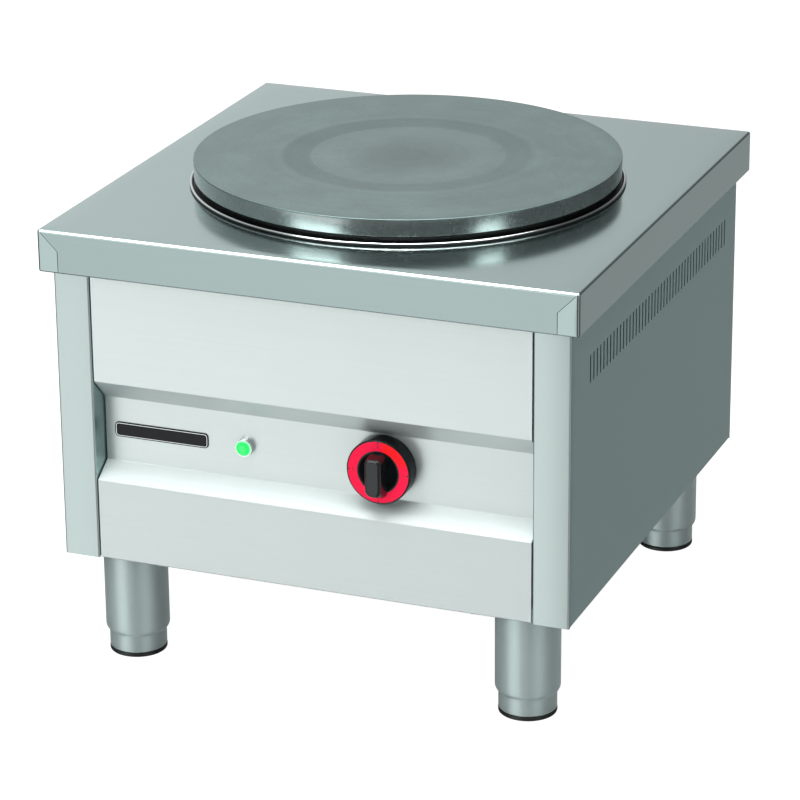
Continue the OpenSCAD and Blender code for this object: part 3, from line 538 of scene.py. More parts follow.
@dataclass(frozen=True)
class DialPrint:
    """Red dial ring whose print is warmer between the upper and the right-hand mark, and which glows
    faintly as painted light.
    """

    name: str
    colour: Colour
    warm: Colour
    centre: tuple[float, float]

    def material(self) -> bpy.types.Material:
        """The print's material."""
        material, graph = new_graph(self.name)
        point = graph.point()
        x, _, z = graph.parts(point)
        across, up = x - self.centre[0], z - self.centre[1]
        sector = across.ramp(0.002, 0.006) * up.ramp(0.004, 0.012)
        speck = graph.noise(point, 1400.0, 3.0)
        base = graph.mix(sector, self.colour, self.warm)
        shaded = graph.mix(speck * 0.14, base, scaled(self.colour, 0.55))
        values = {
            "Base Color": shaded,
            "Roughness": 0.5 + 0.1 * (speck - 0.5),
            "Normal": graph.bump(speck, 3e-6),
            "Emission Color": shaded,
        }
        # painted light: a faint emission in the print's colour makes the ring glow
        shade(self.name, {"Emission Strength": 0.10, "Specular IOR Level": 0.15}, values, graph)
        return material


@dataclass(frozen=True)
class LampGlass:
    """Green lens of a lit pilot lamp: brightest in the middle, with fine moulded ribs."""

    name: str
    colour: Colour
    pale: Colour
    centre: tuple[float, float]
    radius: float

    def material(self) -> bpy.types.Material:
        """The lens's material."""
        material, graph = new_graph(self.name)
        point = graph.point()
        x, _, z = graph.parts(point)
        offset = graph.add("CombineXYZ", sockets={0: x - self.centre[0], 1: z - self.centre[1]})
        distance = graph.length(offset)
        ribs = graph.line_noise(distance, 2200.0)
        rim = distance.ramp(0.80 * self.radius, 0.97 * self.radius)
        glow = graph.mix(rim, self.colour, self.pale)
        values = {
            "Base Color": glow,
            "Roughness": 0.16 + 0.08 * (ribs - 0.5),
            "Normal": graph.bump(ribs, 1.5e-5),
            "Emission Color": glow,
        }
        shade(self.name, {"Emission Strength": 0.32, "Coat Weight": 0.5}, values, graph)
        return material


# ---------------------------------------------------------------- surfaces


@dataclass(frozen=True)
class Seat:
    """Local frame of a piece: right, up and out, seen from where the piece faces."""

    origin: tuple[float, float, float]
    right: tuple[float, float, float] = (1.0, 0.0, 0.0)
    up: tuple[float, float, float] = (0.0, 1.0, 0.0)
    out: tuple[float, float, float] = (0.0, 0.0, 1.0)

    def place(self, local: Array) -> Array:
        """Origin plus right, up and out times the three local coordinates."""
        return np.asarray(self.origin) + local @ np.array([self.right, self.up, self.out])


def front_seat(x: float, y: float, z: float) -> Seat:
    """Seat on an upright plane that faces the front."""
    return Seat((x, y, z), (1.0, 0.0, 0.0), (0.0, 0.0, 1.0), (0.0, -1.0, 0.0))


def filleted(corners: Sequence[Sequence[float]], radii: Sequence[float], steps: int = 6) -> Array:
    """Open line with each inner corner replaced by an arc.

    The arc starts radius times tan(half the turn) before the corner and ends as far after it; its centre
    lies on the bisector at radius / cos(half the turn).

    Args:
        corners: the line's corner points.
        radii: one radius for each inner corner; 0 keeps it sharp.
        steps: segments in each arc.

    Returns:
        Array of the line's points.
    """
    line = np.asarray(corners, float)
    runs = [line[:1]]
    for before, corner, after, radius in zip(line, line[1:], line[2:], radii):
        to_before = (before - corner) / np.linalg.norm(before - corner)
        to_after = (after - corner) / np.linalg.norm(after - corner)
        half_turn = (math.pi - math.acos(float(np.clip(to_before @ to_after, -1, 1)))) / 2
        if radius <= 0 or half_turn < 1e-6:
            runs.append(corner[None])
            continue
        bisector = (to_before + to_after) / np.linalg.norm(to_before + to_after)
        centre = corner + bisector * radius / math.cos(half_turn)
        swing = np.linspace(-half_turn, half_turn, steps + 1)[:, None]
        side = (to_after - to_before) / np.linalg.norm(to_after - to_before)
        runs.append(centre + radius * (side * np.sin(swing) - bisector * np.cos(swing)))
    runs.append(line[-1:])
    return np.concatenate(runs)


def closed_fillet(corners: Sequence[Sequence[float]], radii: Sequence[float], steps: int = 6) -> Array:
    """Closed outline with rounded corners, whose last point repeats its first.

    Args:
        corners: corner points in order.
        radii: one radius for each corner.
        steps: segments in each arc.

    Returns:
        Array of the outline's points.
    """
    line = np.asarray(corners, float)
    start = (line[0] + line[-1]) / 2
    path = np.concatenate([start[None], line, start[None]])
    return filleted(path, radii, steps)


def evenly(line: Array, longest: float) -> Array:
    """Line with points added so that no segment is longer than given.

    Args:
        line: array of points.
        longest: longest segment allowed.

    Returns:
        Array of points that holds every original one.
    """
    runs = [
        np.linspace(a, b, max(1, math.ceil(float(np.linalg.norm(b - a)) / longest)), endpoint=False)
        for a, b in zip(line[:-1], line[1:])
    ]
    return np.concatenate([*runs, line[-1:]])


class Shell:
    """Gathers grids of points and joins them into one welded mesh."""

    def __init__(self) -> None:
        """Starts an empty shell."""
        self.points: list[Array] = []
        self.faces: list[list[int]] = []
        self.count = 0

    def grid(self, points: Array, keep: Array | None = None) -> "Shell":
        """Adds a grid, or a batch of them; every cell between four neighbours becomes a face.

        Args:
            points: array of shape (..., rows, columns, 3).
            keep: which cells stay, of shape (rows - 1, columns - 1); all if left out.

        Returns:
            The shell itself.
        """
        rows, columns = points.shape[-3:-1]
        flat = points.reshape(-1, 3)
        index = np.arange(len(flat)).reshape(-1, rows, columns) + self.count
        corners = [index[:, :-1, :-1], index[:, :-1, 1:], index[:, 1:, 1:], index[:, 1:, :-1]]
        quads = np.stack(corners, axis=-1)
        if keep is not None:
            quads = quads[:, keep]
        self.faces += quads.reshape(-1, 4).tolist()
        self.points.append(flat)
        self.count += len(flat)
        return self

    def raw(self, points: Array, faces: Iterable[Sequence[int]]) -> "Shell":
        """Adds points with ready-made faces.

        Args:
            points: array of shape (count, 3).
            faces: vertex numbers of each face, counted from 0.

        Returns:
            The shell itself.
        """
        self.faces += [[i + self.count for i in face] for face in faces]
        self.points.append(points)
        self.count += len(points)
        return self

    def lathe(self, outline: Array, seat: Seat, segments: int = 96) -> "Shell":
        """Turns an outline about the seat's out axis.

        The point at angle a and outline point (r, h) is r cos a to the right, r sin a up and h out.

        Args:
            outline: array of (radius, height) points.
            seat: where the axis stands.
            segments: steps round the axis.

        Returns:
            The shell itself.
        """
        angle = np.linspace(0, 2 * math.pi, segments + 1)
        angle[-1] = 0.0
        radius, height = outline[:, :1], outline[:, 1:]
        local = np.stack(
            np.broadcast_arrays(radius * np.cos(angle), radius * np.sin(angle), height), axis=-1
        )
        return self.grid(seat.place(local))

    def loft(self, outlines: Sequence[Array], heights: Sequence[float], seat: Seat) -> "Shell":
        """Joins closed outlines of equal point count that lie one above the other.

        Args:
            outlines: arrays of (right, up) points, each repeating its first point at the end.
            heights: how far out each outline lies.
            seat: where the stack stands.

        Returns:
            The shell itself.
        """
        layers = [
            np.column_stack([line, np.full(len(line), height)])
            for line, height in zip(outlines, heights)
        ]
        return self.grid(seat.place(np.stack(layers)))

    def build(
        self, name: str, centre: Sequence[float], thickness: float = 0.0, crease: float = 32.0
    ) -> bpy.types.Object:
        """Makes the object: welds the grids, turns their faces outwards and thickens a sheet.

        Args:
            name: the piece's name.
            centre: a point behind the sheet or inside the solid.
            thickness: sheet thickness, added behind the faces; 0 for a solid.
            crease: edges that turn by more degrees than this stay sharp.

        Returns:
            The new object, at the origin.
        """
        mesh = bpy.data.meshes.new(name)
        mesh.from_pydata(np.concatenate(self.points), [], self.faces)
        work = bmesh.new()
        work.from_mesh(mesh)
        bmesh.ops.remove_doubles(work, verts=work.verts, dist=WELD)
        bmesh.ops.dissolve_degenerate(work, dist=WELD / 2, edges=work.edges)
        bmesh.ops.recalc_face_normals(work, faces=work.faces)
        middle = np.asarray(centre, float)
        flux = sum(
            f.calc_area() * float(np.dot(f.normal, np.array(f.calc_center_median()) - middle))
            for f in work.faces
        )
        if flux < 0:
            bmesh.ops.reverse_faces(work, faces=work.faces)
        work.to_mesh(mesh)
        work.free()
        piece = bpy.data.objects.new(name, mesh)
        bpy.context.scene.collection.objects.link(piece)
        if thickness:
            wall = piece.modifiers.new("wall", "SOLIDIFY")
            wall.thickness, wall.offset, wall.use_even_offset = thickness, -1.0, True
            settle(piece)
        smooth(piece.data, crease)
        return piece


def settle(piece: bpy.types.Object) -> None:
    """Applies a piece's modifiers to its mesh."""
    graph = bpy.context.evaluated_depsgraph_get()
    done = bpy.data.meshes.new_from_object(piece.evaluated_get(graph))
    piece.modifiers.clear()
    piece.data = done


def smooth(mesh: bpy.types.Mesh, crease: float) -> None:
    """Shades a mesh smooth, with sharp edges where it turns by more than crease degrees."""
    mesh.polygons.foreach_set("use_smooth", np.ones(len(mesh.polygons), bool))
    mesh.set_sharp_from_angle(angle=math.radians(crease))


def dress(piece: bpy.types.Object, material: bpy.types.Material) -> None:
    """Gives every material slot of an object one material."""
    if not piece.material_slots:
        piece.data.materials.append(material)
    for place in piece.material_slots:
        place.material = material


def ready(
    piece: bpy.types.Object, material: bpy.types.Material, body: str, slot: str, *nodes: str
) -> bpy.types.Object:
    """Dresses a new piece, lets it ride on its body and puts it in place of its nodes.

    Args:
        piece: the new piece.
        material: its finish.
        body: the body that it moves with.
        slot: the record's material slot; not used.
        nodes: the frame nodes that it stands for.

    Returns:
        The piece itself.
    """
    dress(piece, material)
    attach(piece, body)
    if nodes:
        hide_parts(*nodes)
    LOG.info("%s: %d faces on %s", piece.name, len(piece.data.polygons), body)
    return piece


def centre_of(node: str) -> tuple[float, float, float]:
    """Middle of a node's box."""
    low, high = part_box(node)
    return tuple(((np.array(low) + np.array(high)) / 2).tolist())


# ---------------------------------------------------------------- worktop


@dataclass
class Worktop:
    """Folded worktop sheet with a round cut-out, a skirt, a hem and tabs wrapped round the front."""

    sheet: float = 1.5 * MM
    nose: float = 2.6 * MM
    hem_bend: float = 2.0 * MM
    hem: float = 5.0 * MM
    cutout: float = 185.0 * MM
    tab: float = 20.0 * MM
    seam: float = 0.6 * MM
    stud_radius: float = 2.5 * MM
    stud_length: float = 12.0 * MM
    stud_place: tuple[float, float] = (0.2389, 0.1782)
    bend_steps: int = 8
    corner_steps: int = 8
    side_steps: int = 40
    tab_steps: int = 5

    def __post_init__(self) -> None:
        """Reads the sheet's outer size from the frame."""
        low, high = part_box("worktop")
        self.half = high[0]
        self.core = self.half - self.nose
        self.top, self.foot = high[2], low[2]
        self.skirt_top = self.top - self.nose
        self.seam_start = self.core - 0.8 * MM
        self.seam_end = self.half - self.tab
        self.knee = self.skirt_top - (self.seam_start - self.seam_end)

    def seam_at(self, height: float) -> float:
        """Distance of the seam from the middle: in by as much as it drops, until the tab's full width."""
        drop = max(0.0, self.skirt_top - height)
        return max(self.seam_end, self.seam_start - drop)

    def outline(self, reach: float, height: float) -> Array:
        """Square outline moved outwards by reach, with round corners of that radius.

        The front's points are spaced so that one pair of columns follows the seam at this height. Points
        of a corner share one base point and differ only in the direction in which reach moves them.

        Args:
            reach: distance outside the core square; where it is negative the corners are sharp.
            height: height above the floor.

        Returns:
            Array of (x, y, z), once round from the front left corner.
        """
        core = self.core + min(reach, 0.0)
        seam = self.seam_at(height)
        gap = self.seam / 2
        tab = np.linspace(0, 1, self.tab_steps + 1)
        run = np.linspace(-1, 1, self.side_steps + 1)
        left = -core + tab * (core - seam - gap)
        front = np.concatenate([left, run * (seam - gap), -left[::-1]])
        sides = [front, run * core, -run * core, -run * core]
        along = [(1, 0), (0, 1), (1, 0), (0, 1)]
        outward = [(0, -1), (1, 0), (0, 1), (-1, 0)]
        base, normal = [], []
        for number, (points, axis, out) in enumerate(zip(sides, along, outward)):
            base.append(np.outer(points, axis) + np.array(out) * core)
            normal.append(np.tile(out, (len(points), 1)).astype(float))
            turn = np.linspace(0, math.pi / 2, self.corner_steps + 1)[1:-1]
            following = outward[(number + 1) % 4]
            base.append(np.tile(base[-1][-1], (len(turn), 1)))
            normal.append(np.outer(np.cos(turn), out) + np.outer(np.sin(turn), following))
        flat = np.concatenate(base) + max(reach, 0.0) * np.concatenate(normal)
        flat = np.concatenate([flat, flat[:1]])
        return np.column_stack([flat, np.full(len(flat), height)])

    def rows(self) -> tuple[Array, int]:
        """All rows from the cut-out over the nose and the skirt to the hem.

        Returns:
            Array of rows, and the number of the first row below the nose.
        """
        edge = self.outline(0.0, self.top)
        angle = np.arctan2(edge[:, 1], edge[:, 0])
        ring = self.cutout * np.column_stack([np.cos(angle), np.sin(angle)])
        ring = np.column_stack([ring, edge[:, 2]])
        rows = [ring + (edge - ring) * share for share in np.linspace(0, 1, 7)[:-1]]
        turn = np.linspace(0, math.pi / 2, self.bend_steps + 1)
        for a in turn:
            rows.append(self.outline(self.nose * math.sin(a), self.top - self.nose * (1 - math.cos(a))))
        first_skirt_row = len(rows) - 1
        for height in np.linspace(self.skirt_top, self.knee, 5)[1:]:
            rows.append(self.outline(self.nose, float(height)))
        for height in np.linspace(self.knee, self.foot + self.hem_bend, 4)[1:]:
            rows.append(self.outline(self.nose, float(height)))
        for a in turn[1:]:
            reach = self.nose - self.hem_bend * (1 - math.cos(a))
            rows.append(self.outline(reach, self.foot + self.hem_bend * (1 - math.sin(a))))
        rows.append(self.outline(self.nose - self.hem, self.foot))
        return np.stack(rows), first_skirt_row

    def build(self) -> bpy.types.Object:
        """The whole worktop, with the two seams left open, and its weld studs."""
        rows, first_skirt_row = self.rows()
        keep = np.ones((rows.shape[0] - 1, rows.shape[1] - 1), bool)
        left_seam = self.tab_steps
        right_seam = left_seam + self.side_steps + 2
        keep[first_skirt_row:, [left_seam, right_seam - 1]] = False
        shell = Shell().grid(rows, keep)
        piece = shell.build("worktop_sheet", (0, 0, self.foot - self.half), self.sheet)
        studs = Shell()
        outline = np.array([(0, 0), (1, 0), (1, -1), (0, -1)]) * [self.stud_radius, self.stud_length]
        for side in (-1, 1):
            for end in (-1, 1):
                place = (side * self.stud_place[0], end * self.stud_place[1], self.top - self.sheet)
                studs.lathe(outline, Seat(place), 24)
        self.studs = studs.build("worktop_studs", (0, 0, self.foot))
        return piece


# ---------------------------------------------------------------- cabinet


@dataclass
class SidePanel:
    """Side of the cabinet, folded round to the rear edge and to the front stile, with vent slots."""

    side: int
    sheet: float = 1.2 * MM
    bend: float = 2.0 * MM
    stile: float = 35.0 * MM
    stile_return: float = 28.0 * MM
    return_foot: float = 130.2 * MM
    rear_edge: float = 25.0 * MM
    flange: float = 16.0 * MM
    slot_height: float = 27.0 * MM
    slot_width: float = 3.0 * MM
    slot_pitch: float = 9.2 * MM
    slot_top: float = 345.6 * MM
    slot_shift: float = 6.0 * MM
    slots: int = 45
    cell_margin: float = 4.0 * MM
    cell_across: int = 4
    cell_up: int = 6
    low_rows: tuple[float, float] = (0.2, 0.26)
    high_row: float = 0.385

    def __post_init__(self) -> None:
        """Reads the panel's outer size from the frame."""
        low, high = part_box("right_side_panel")
        self.x, self.front, self.back = high[0], low[1], high[1]
        self.foot, self.top = low[2], high[2]
        self.slot_low = self.slot_top - self.slot_height
        self.cell_low = self.slot_low - self.cell_margin
        self.cell_top = self.slot_top + self.cell_margin
        first = self.slot_shift - self.slots / 2 * self.slot_pitch
        self.cell_edges = first + np.arange(self.slots + 1) * self.slot_pitch

    def upright(self, plan: Array, heights: Array) -> Array:
        """Grid of a plan line carried up to the given heights."""
        rows = [np.column_stack([plan, np.full(len(plan), h)]) for h in heights]
        return np.stack(rows)

    def cells(self) -> Array:
        """One ring grid round each slot.

        The slot is two half circles joined by straights. Each border point of the slot's cell is joined
        to the point of the slot's outline that has the same number.

        Returns:
            Array of shape (slots, rings, points, 3).
        """
        radius = self.slot_width / 2
        across = np.linspace(-1, 1, self.cell_across + 1)
        up = np.linspace(0, 1, self.cell_up + 1)
        half = self.slot_pitch / 2
        tall = self.cell_top - self.cell_low
        bottom = np.column_stack([across * half, np.zeros_like(across)])
        right = np.column_stack([np.full_like(up, half), up * tall])
        border = [bottom[:-1], right[:-1], (bottom * [-1, 1] + [0, tall])[:-1], -right * [1, -1]]
        border[3][:, 1] = tall - up * tall
        turn = across * math.pi / 2
        arc = radius * np.column_stack([np.sin(turn), -np.cos(turn)])
        low = self.cell_margin + radius
        high = tall - low
        straight = np.column_stack([np.full_like(up, radius), low + up * (high - low)])
        back = straight[::-1] * [-1, 1]
        rim = [(arc + [0, low])[:-1], straight[:-1], (-arc + [0, high])[:-1], back]
        outer, inner = np.concatenate(border), np.concatenate(rim)
        rings = np.stack([outer + (inner - outer) * share for share in (0.0, 0.5, 0.85, 1.0)])
        middles = (self.cell_edges[:-1] + self.cell_edges[1:]) / 2
        y = middles[:, None, None] + rings[None, ..., 0]
        z = np.broadcast_to(self.cell_low + rings[None, ..., 1], y.shape)
        return np.stack([np.full_like(y, self.x), y, z], axis=-1)

    def wall_plan(self) -> tuple[Array, Array, Array]:
        """Plan of the straight wall in three runs: behind, along and in front of the slots.

        Returns:
            Three arrays of (x, y), from the back to the front.
        """
        half_cells = np.linspace(
            self.cell_edges[-1], self.cell_edges[0], self.slots * self.cell_across + 1
        )
        runs = (
            np.linspace(self.back - self.bend, self.cell_edges[-1], 4),
            half_cells,
            np.linspace(self.cell_edges[0], self.front + self.bend, 4),
        )
        return tuple(np.column_stack([np.full_like(y, self.x), y]) for y in runs)

    def folds(self) -> tuple[Array, Array]:
        """Plans of the rear edge with its bend, and of the front bend with the stile and its return."""
        rear = filleted(
            [(self.x - self.rear_edge, self.back), (self.x, self.back), (self.x, self.back - self.bend)],
            [self.bend * 0.999], 8,
        )
        inner = self.x - self.stile
        stile = filleted(
            [
                (self.x, self.front + self.bend), (self.x, self.front), (inner, self.front),
                (inner, self.front + self.stile_return),
            ],
            [self.bend * 0.999, self.bend * 0.9], 8,
        )
        return rear, stile

    def flange_rows(self, wall: Array, edge: float, inward: int) -> Array:
        """Rows of a flange folded in from the wall.

        Args:
            wall: plan of the wall.
            edge: height of the flange's outer face.
            inward: 1 where the wall rises from the flange, and -1 where it hangs from it.

        Returns:
            Grid of the flange and its bend.
        """
        turn = np.linspace(0, math.pi / 2, 6)
        inset = np.append(self.bend * (1 - np.cos(turn)), self.flange)
        height = np.append(self.bend * (1 - np.sin(turn)), 0.0)
        rows = [
            np.column_stack([wall - [d, 0], np.full(len(wall), edge + inward * h)])
            for d, h in zip(inset, height)
        ]
        return np.stack(rows)

    def build(self) -> bpy.types.Object:
        """The whole panel; the left one is the right one with X reversed."""
        shell = Shell()
        rear, stile = self.folds()
        behind, along, before = self.wall_plan()
        foot, top = self.foot + self.bend, self.top - self.bend
        middle = np.linspace(self.cell_low, self.cell_top, self.cell_up + 1)
        low = np.array([foot, self.return_foot, *self.low_rows, self.cell_low])
        high = np.array([self.cell_top, self.high_row, top])
        for plan in (behind, before):
            shell.grid(self.upright(plan, np.concatenate([low[:-1], middle, high[1:]])))
        shell.grid(self.upright(along, low)).grid(self.upright(along, high)).grid(self.cells())
        folded = np.concatenate([[self.foot], low[:-1], middle, high[1:], [self.top]])
        shell.grid(self.upright(rear, folded))
        keep = np.ones((len(folded) - 1, len(stile) - 1), bool)
        on_return = (stile[:-1, 1] > self.front + self.bend * 0.8) & (stile[:-1, 0] < self.x - self.bend)
        keep[np.ix_(folded[:-1] < self.return_foot - WELD, on_return)] = False
        shell.grid(self.upright(stile, folded), keep)
        wall = np.concatenate([behind[:-1], along, before[1:]])
        shell.grid(self.flange_rows(wall, self.foot, 1)).grid(self.flange_rows(wall, self.top, -1))
        shell.points = [p * [self.side, 1, 1] for p in shell.points]
        name = "right_side_sheet" if self.side > 0 else "left_side_sheet"
        return shell.build(name, (0, 0, 0.26), self.sheet)


@dataclass
class FrontPanel:
    """Front sheet with the long recess that holds the controls."""

    sheet: float = 1.2 * MM
    bend: float = 1.6 * MM
    recess_drop: float = 143.8 * MM
    recess_depth: float = 20.8 * MM
    upper_slope: float = 20.8 * MM
    lower_slope: float = 13.7 * MM
    knob_gap: float = 0.6 * MM
    lip: float = 16.0 * MM
    lip_half: float = 161.0 * MM
    columns: int = 44

    def build(self) -> bpy.types.Object:
        """Side view of the sheet, rounded at its bends, carried across from side to side."""
        low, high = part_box("front_panel")
        knob_low, knob_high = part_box("knob")
        lip_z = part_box("worktop")[1][2] - self.recess_drop
        ceiling = lip_z - self.upper_slope
        sill = ceiling - (knob_high[0] - knob_low[0]) - 2 * self.knob_gap
        face, floor = low[1], low[1] + self.recess_depth
        corners = [
            (face + self.lip, low[2]), (face, low[2]), (face, sill - self.lower_slope), (floor, sill),
            (floor, ceiling), (face, lip_z), (face, high[2]), (face + self.lip, high[2]),
        ]
        line = evenly(filleted(corners, [self.bend] * 6, 7), 0.02)
        half = high[0]
        inner = np.linspace(-self.lip_half, self.lip_half, self.columns + 1)
        x = np.concatenate([[-half], inner, [half]])
        y, z = np.meshgrid(line[:, 0], x, indexing="ij")[0], np.meshgrid(line[:, 1], x, indexing="ij")[0]
        grid = np.stack([np.broadcast_to(x, y.shape), y, z], axis=-1)
        keep = np.ones((len(line) - 1, len(x) - 1), bool)
        lower_lip = (line[:-1, 1] < low[2] + self.bend / 2) & (line[:-1, 0] > face + self.bend / 2)
        keep[np.ix_(lower_lip, [0, len(x) - 2])] = False
        return Shell().grid(grid, keep).build("front_sheet", (0, 0.2, 0.26), self.sheet)


# ---------------------------------------------------------------- hot plate


@dataclass
class HotPlate:
    """Turned cast plate and the rolled ring that it stands in."""

    middle: float = 91.0 * MM
    slope: float = 26.0 * MM
    sink: float = 1.1 * MM
    side_height: float = 16.0 * MM
    collar_step: float = 3.5 * MM
    edge: float = 0.5 * MM
    bead: float = 1.6 * MM
    ring_sheet: float = 1.0 * MM
    ring_width: float = 18.5 * MM
    segments: int = 288

    def plate(self) -> bpy.types.Object:
        """Cast plate: the outline in radius and height, turned once round."""
        low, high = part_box("hot_plate")
        radius, top = high[0], high[2]
        side_foot = top - self.side_height
        collar = radius - self.collar_step
        corners = [
            (0, top - self.sink), (self.middle, top - self.sink), (self.middle + self.slope, top),
            (radius, top), (radius, side_foot), (collar, side_foot), (collar, low[2]), (0, low[2]),
        ]
        bends = [12 * MM, 60 * MM, self.edge, 0.8 * MM, 0.6 * MM, 0.4 * MM]
        line = evenly(filleted(corners, bends, 8), 0.012)
        seat = Seat((0, 0, 0))
        return Shell().lathe(line, seat, self.segments).build("cast_plate", (0, 0, (top + low[2]) / 2))

    def ring(self) -> bpy.types.Object:
        """Trim ring: a flat flange that ends in a rolled bead."""
        low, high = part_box("trim_ring")
        centre = (high[0] - self.bead, low[2] + self.bead)
        inner = high[0] - self.ring_width
        turn = np.linspace(-math.pi / 2, math.pi * 0.86, 22)
        bead = np.column_stack([centre[0] + self.bead * np.cos(turn), centre[1] + self.bead * np.sin(turn)])
        top = low[2] + self.ring_sheet
        ends = [(centre[0] - self.bead - 0.5 * MM, top), (inner, top), (inner, low[2]), bead[0]]
        line = evenly(np.concatenate([bead, ends]), 0.006)
        return Shell().lathe(line, Seat((0, 0, 0)), self.segments).build("rolled_ring", (0, 0, 0.3))


# ---------------------------------------------------------------- legs


@dataclass
class Leg:
    """One leg: tube with its flange, sliding sleeve with its screw, and plastic pad."""

    place: str
    radius: float = 30.0 * MM
    wall: float = 2.0 * MM
    roll: float = 7.0 * MM
    sleeve_gap: float = 0.4 * MM
    bush: tuple[float, float] = (60.5 * MM, 72.5 * MM)
    rod: float = 8.0 * MM
    flange: float = 3.0 * MM
    flange_hole: float = 10.0 * MM
    flange_corner: float = 5.0 * MM
    flange_bevel: float = 0.4 * MM
    weld: float = 1.5 * MM
    sleeve_wall: float = 1.5 * MM
    sleeve_floor: float = 4.0 * MM
    sleeve_overlap: float = 40.0 * MM
    pad_height: float = 4.0 * MM
    rod_play: float = 0.05 * MM
    swivel: float = 5.05 * MM
    swivel_depth: float = 9.0 * MM
    segments: int = 96

    def __post_init__(self) -> None:
        """Reads the leg's place and sizes from the frame."""
        self.tube_low, self.tube_high = (np.array(c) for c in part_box("leg_tube_" + self.place))
        x, y, _ = centre_of("leg_tube_" + self.place)
        self.seat = Seat((x, y, 0.0))
        self.middle = (x, y, 0.06)
        sleeve_low, sleeve_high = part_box("foot_sleeve_" + self.place)
        self.sleeve_radius = (sleeve_high[0] - sleeve_low[0]) / 2
        self.sleeve_z = (sleeve_low[2], sleeve_high[2])

    def tube(self) -> bpy.types.Object:
        """Tube with its lower end rolled in, the threaded bush inside, and the welded flange."""
        r, bore = self.radius, self.radius - self.wall
        end, top = self.tube_low[2], self.tube_high[2] - self.flange
        mouth = self.sleeve_radius + self.sleeve_gap
        turn = np.radians(np.linspace(-50, 0, 9))
        rolled = np.column_stack([
            r - self.roll + self.roll * np.cos(turn), end + self.roll + self.roll * np.sin(turn)
        ])
        inside = [
            (r, top), (bore, top), (bore, self.bush[1]), (self.rod + self.rod_play, self.bush[1]),
            (self.rod + self.rod_play, self.bush[0]), (bore, self.bush[0]), (bore, end + self.roll),
            (mouth, end + 2 * MM), (mouth, end),
        ]
        line = evenly(np.concatenate([[(mouth, end)], rolled, inside]), 0.012)
        shell = Shell().lathe(line, self.seat, self.segments)
        half = (self.tube_high[0] - self.tube_low[0]) / 2
        square = [(-half, -half), (half, -half), (half, half), (-half, half)]
        edge = evenly(closed_fillet(square, [self.flange_corner] * 4, 6), 0.012)
        angle = np.arctan2(edge[:, 1], edge[:, 0])
        hole = self.flange_hole * np.column_stack([np.cos(angle), np.sin(angle)])
        inset = edge * (1 - self.flange_bevel / half)
        lines = [hole, inset, edge, edge, inset, hole, hole]
        low, high, bevel = top, self.tube_high[2], self.flange_bevel
        heights = [low, low, low + bevel, high - bevel, high, high, low]
        shell.loft(lines, heights, self.seat)
        turn = np.linspace(0, 2 * math.pi, 13)
        middle = r + self.flange_bevel
        bead = np.column_stack([middle + self.weld * np.cos(turn), top + self.weld * np.sin(turn)])
        shell.lathe(bead, self.seat, self.segments)
        return shell.build("leg_" + self.place, self.middle)

    def sleeve(self) -> bpy.types.Object:
        """Sleeve that slides in the tube, closed below, with the threaded rod that carries it."""
        low, rod_top = self.sleeve_z
        top = self.tube_low[2] + self.sleeve_overlap
        r, wall, floor = self.sleeve_radius, self.sleeve_wall, low + self.sleeve_floor
        line = filleted(
            [
                (self.swivel, low), (r, low), (r, top), (r - wall, top), (r - wall, floor),
                (self.rod, floor), (self.rod, rod_top), (0, rod_top),
            ],
            [1.2 * MM, 0.3 * MM, 0.3 * MM, 1 * MM, 1 * MM, 1 * MM], 5,
        )
        roof = low + self.swivel_depth
        socket = [(0, roof), (self.swivel, roof), (self.swivel, low)]
        line = evenly(np.concatenate([line, socket]), 0.006)
        return Shell().lathe(line, self.seat, self.segments).build("sleeve_tube_" + self.place, self.middle)

    def pad(self) -> bpy.types.Object:
        """Plastic pad with its swivel pin."""
        low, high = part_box("foot_pad_" + self.place)
        r, t = (high[0] - low[0]) / 2, self.pad_height
        pin = self.swivel - self.rod_play
        line = filleted(
            [(0, low[2]), (r, low[2]), (r, t), (pin, t), (pin, high[2]), (0, high[2])],
            [1.4 * MM, 0.6 * MM, 0.3 * MM, 0.5 * MM], 5,
        )
        return Shell().lathe(evenly(line, 0.01), self.seat, 72).build("pad_" + self.place, self.middle)


# ---------------------------------------------------------------- controls


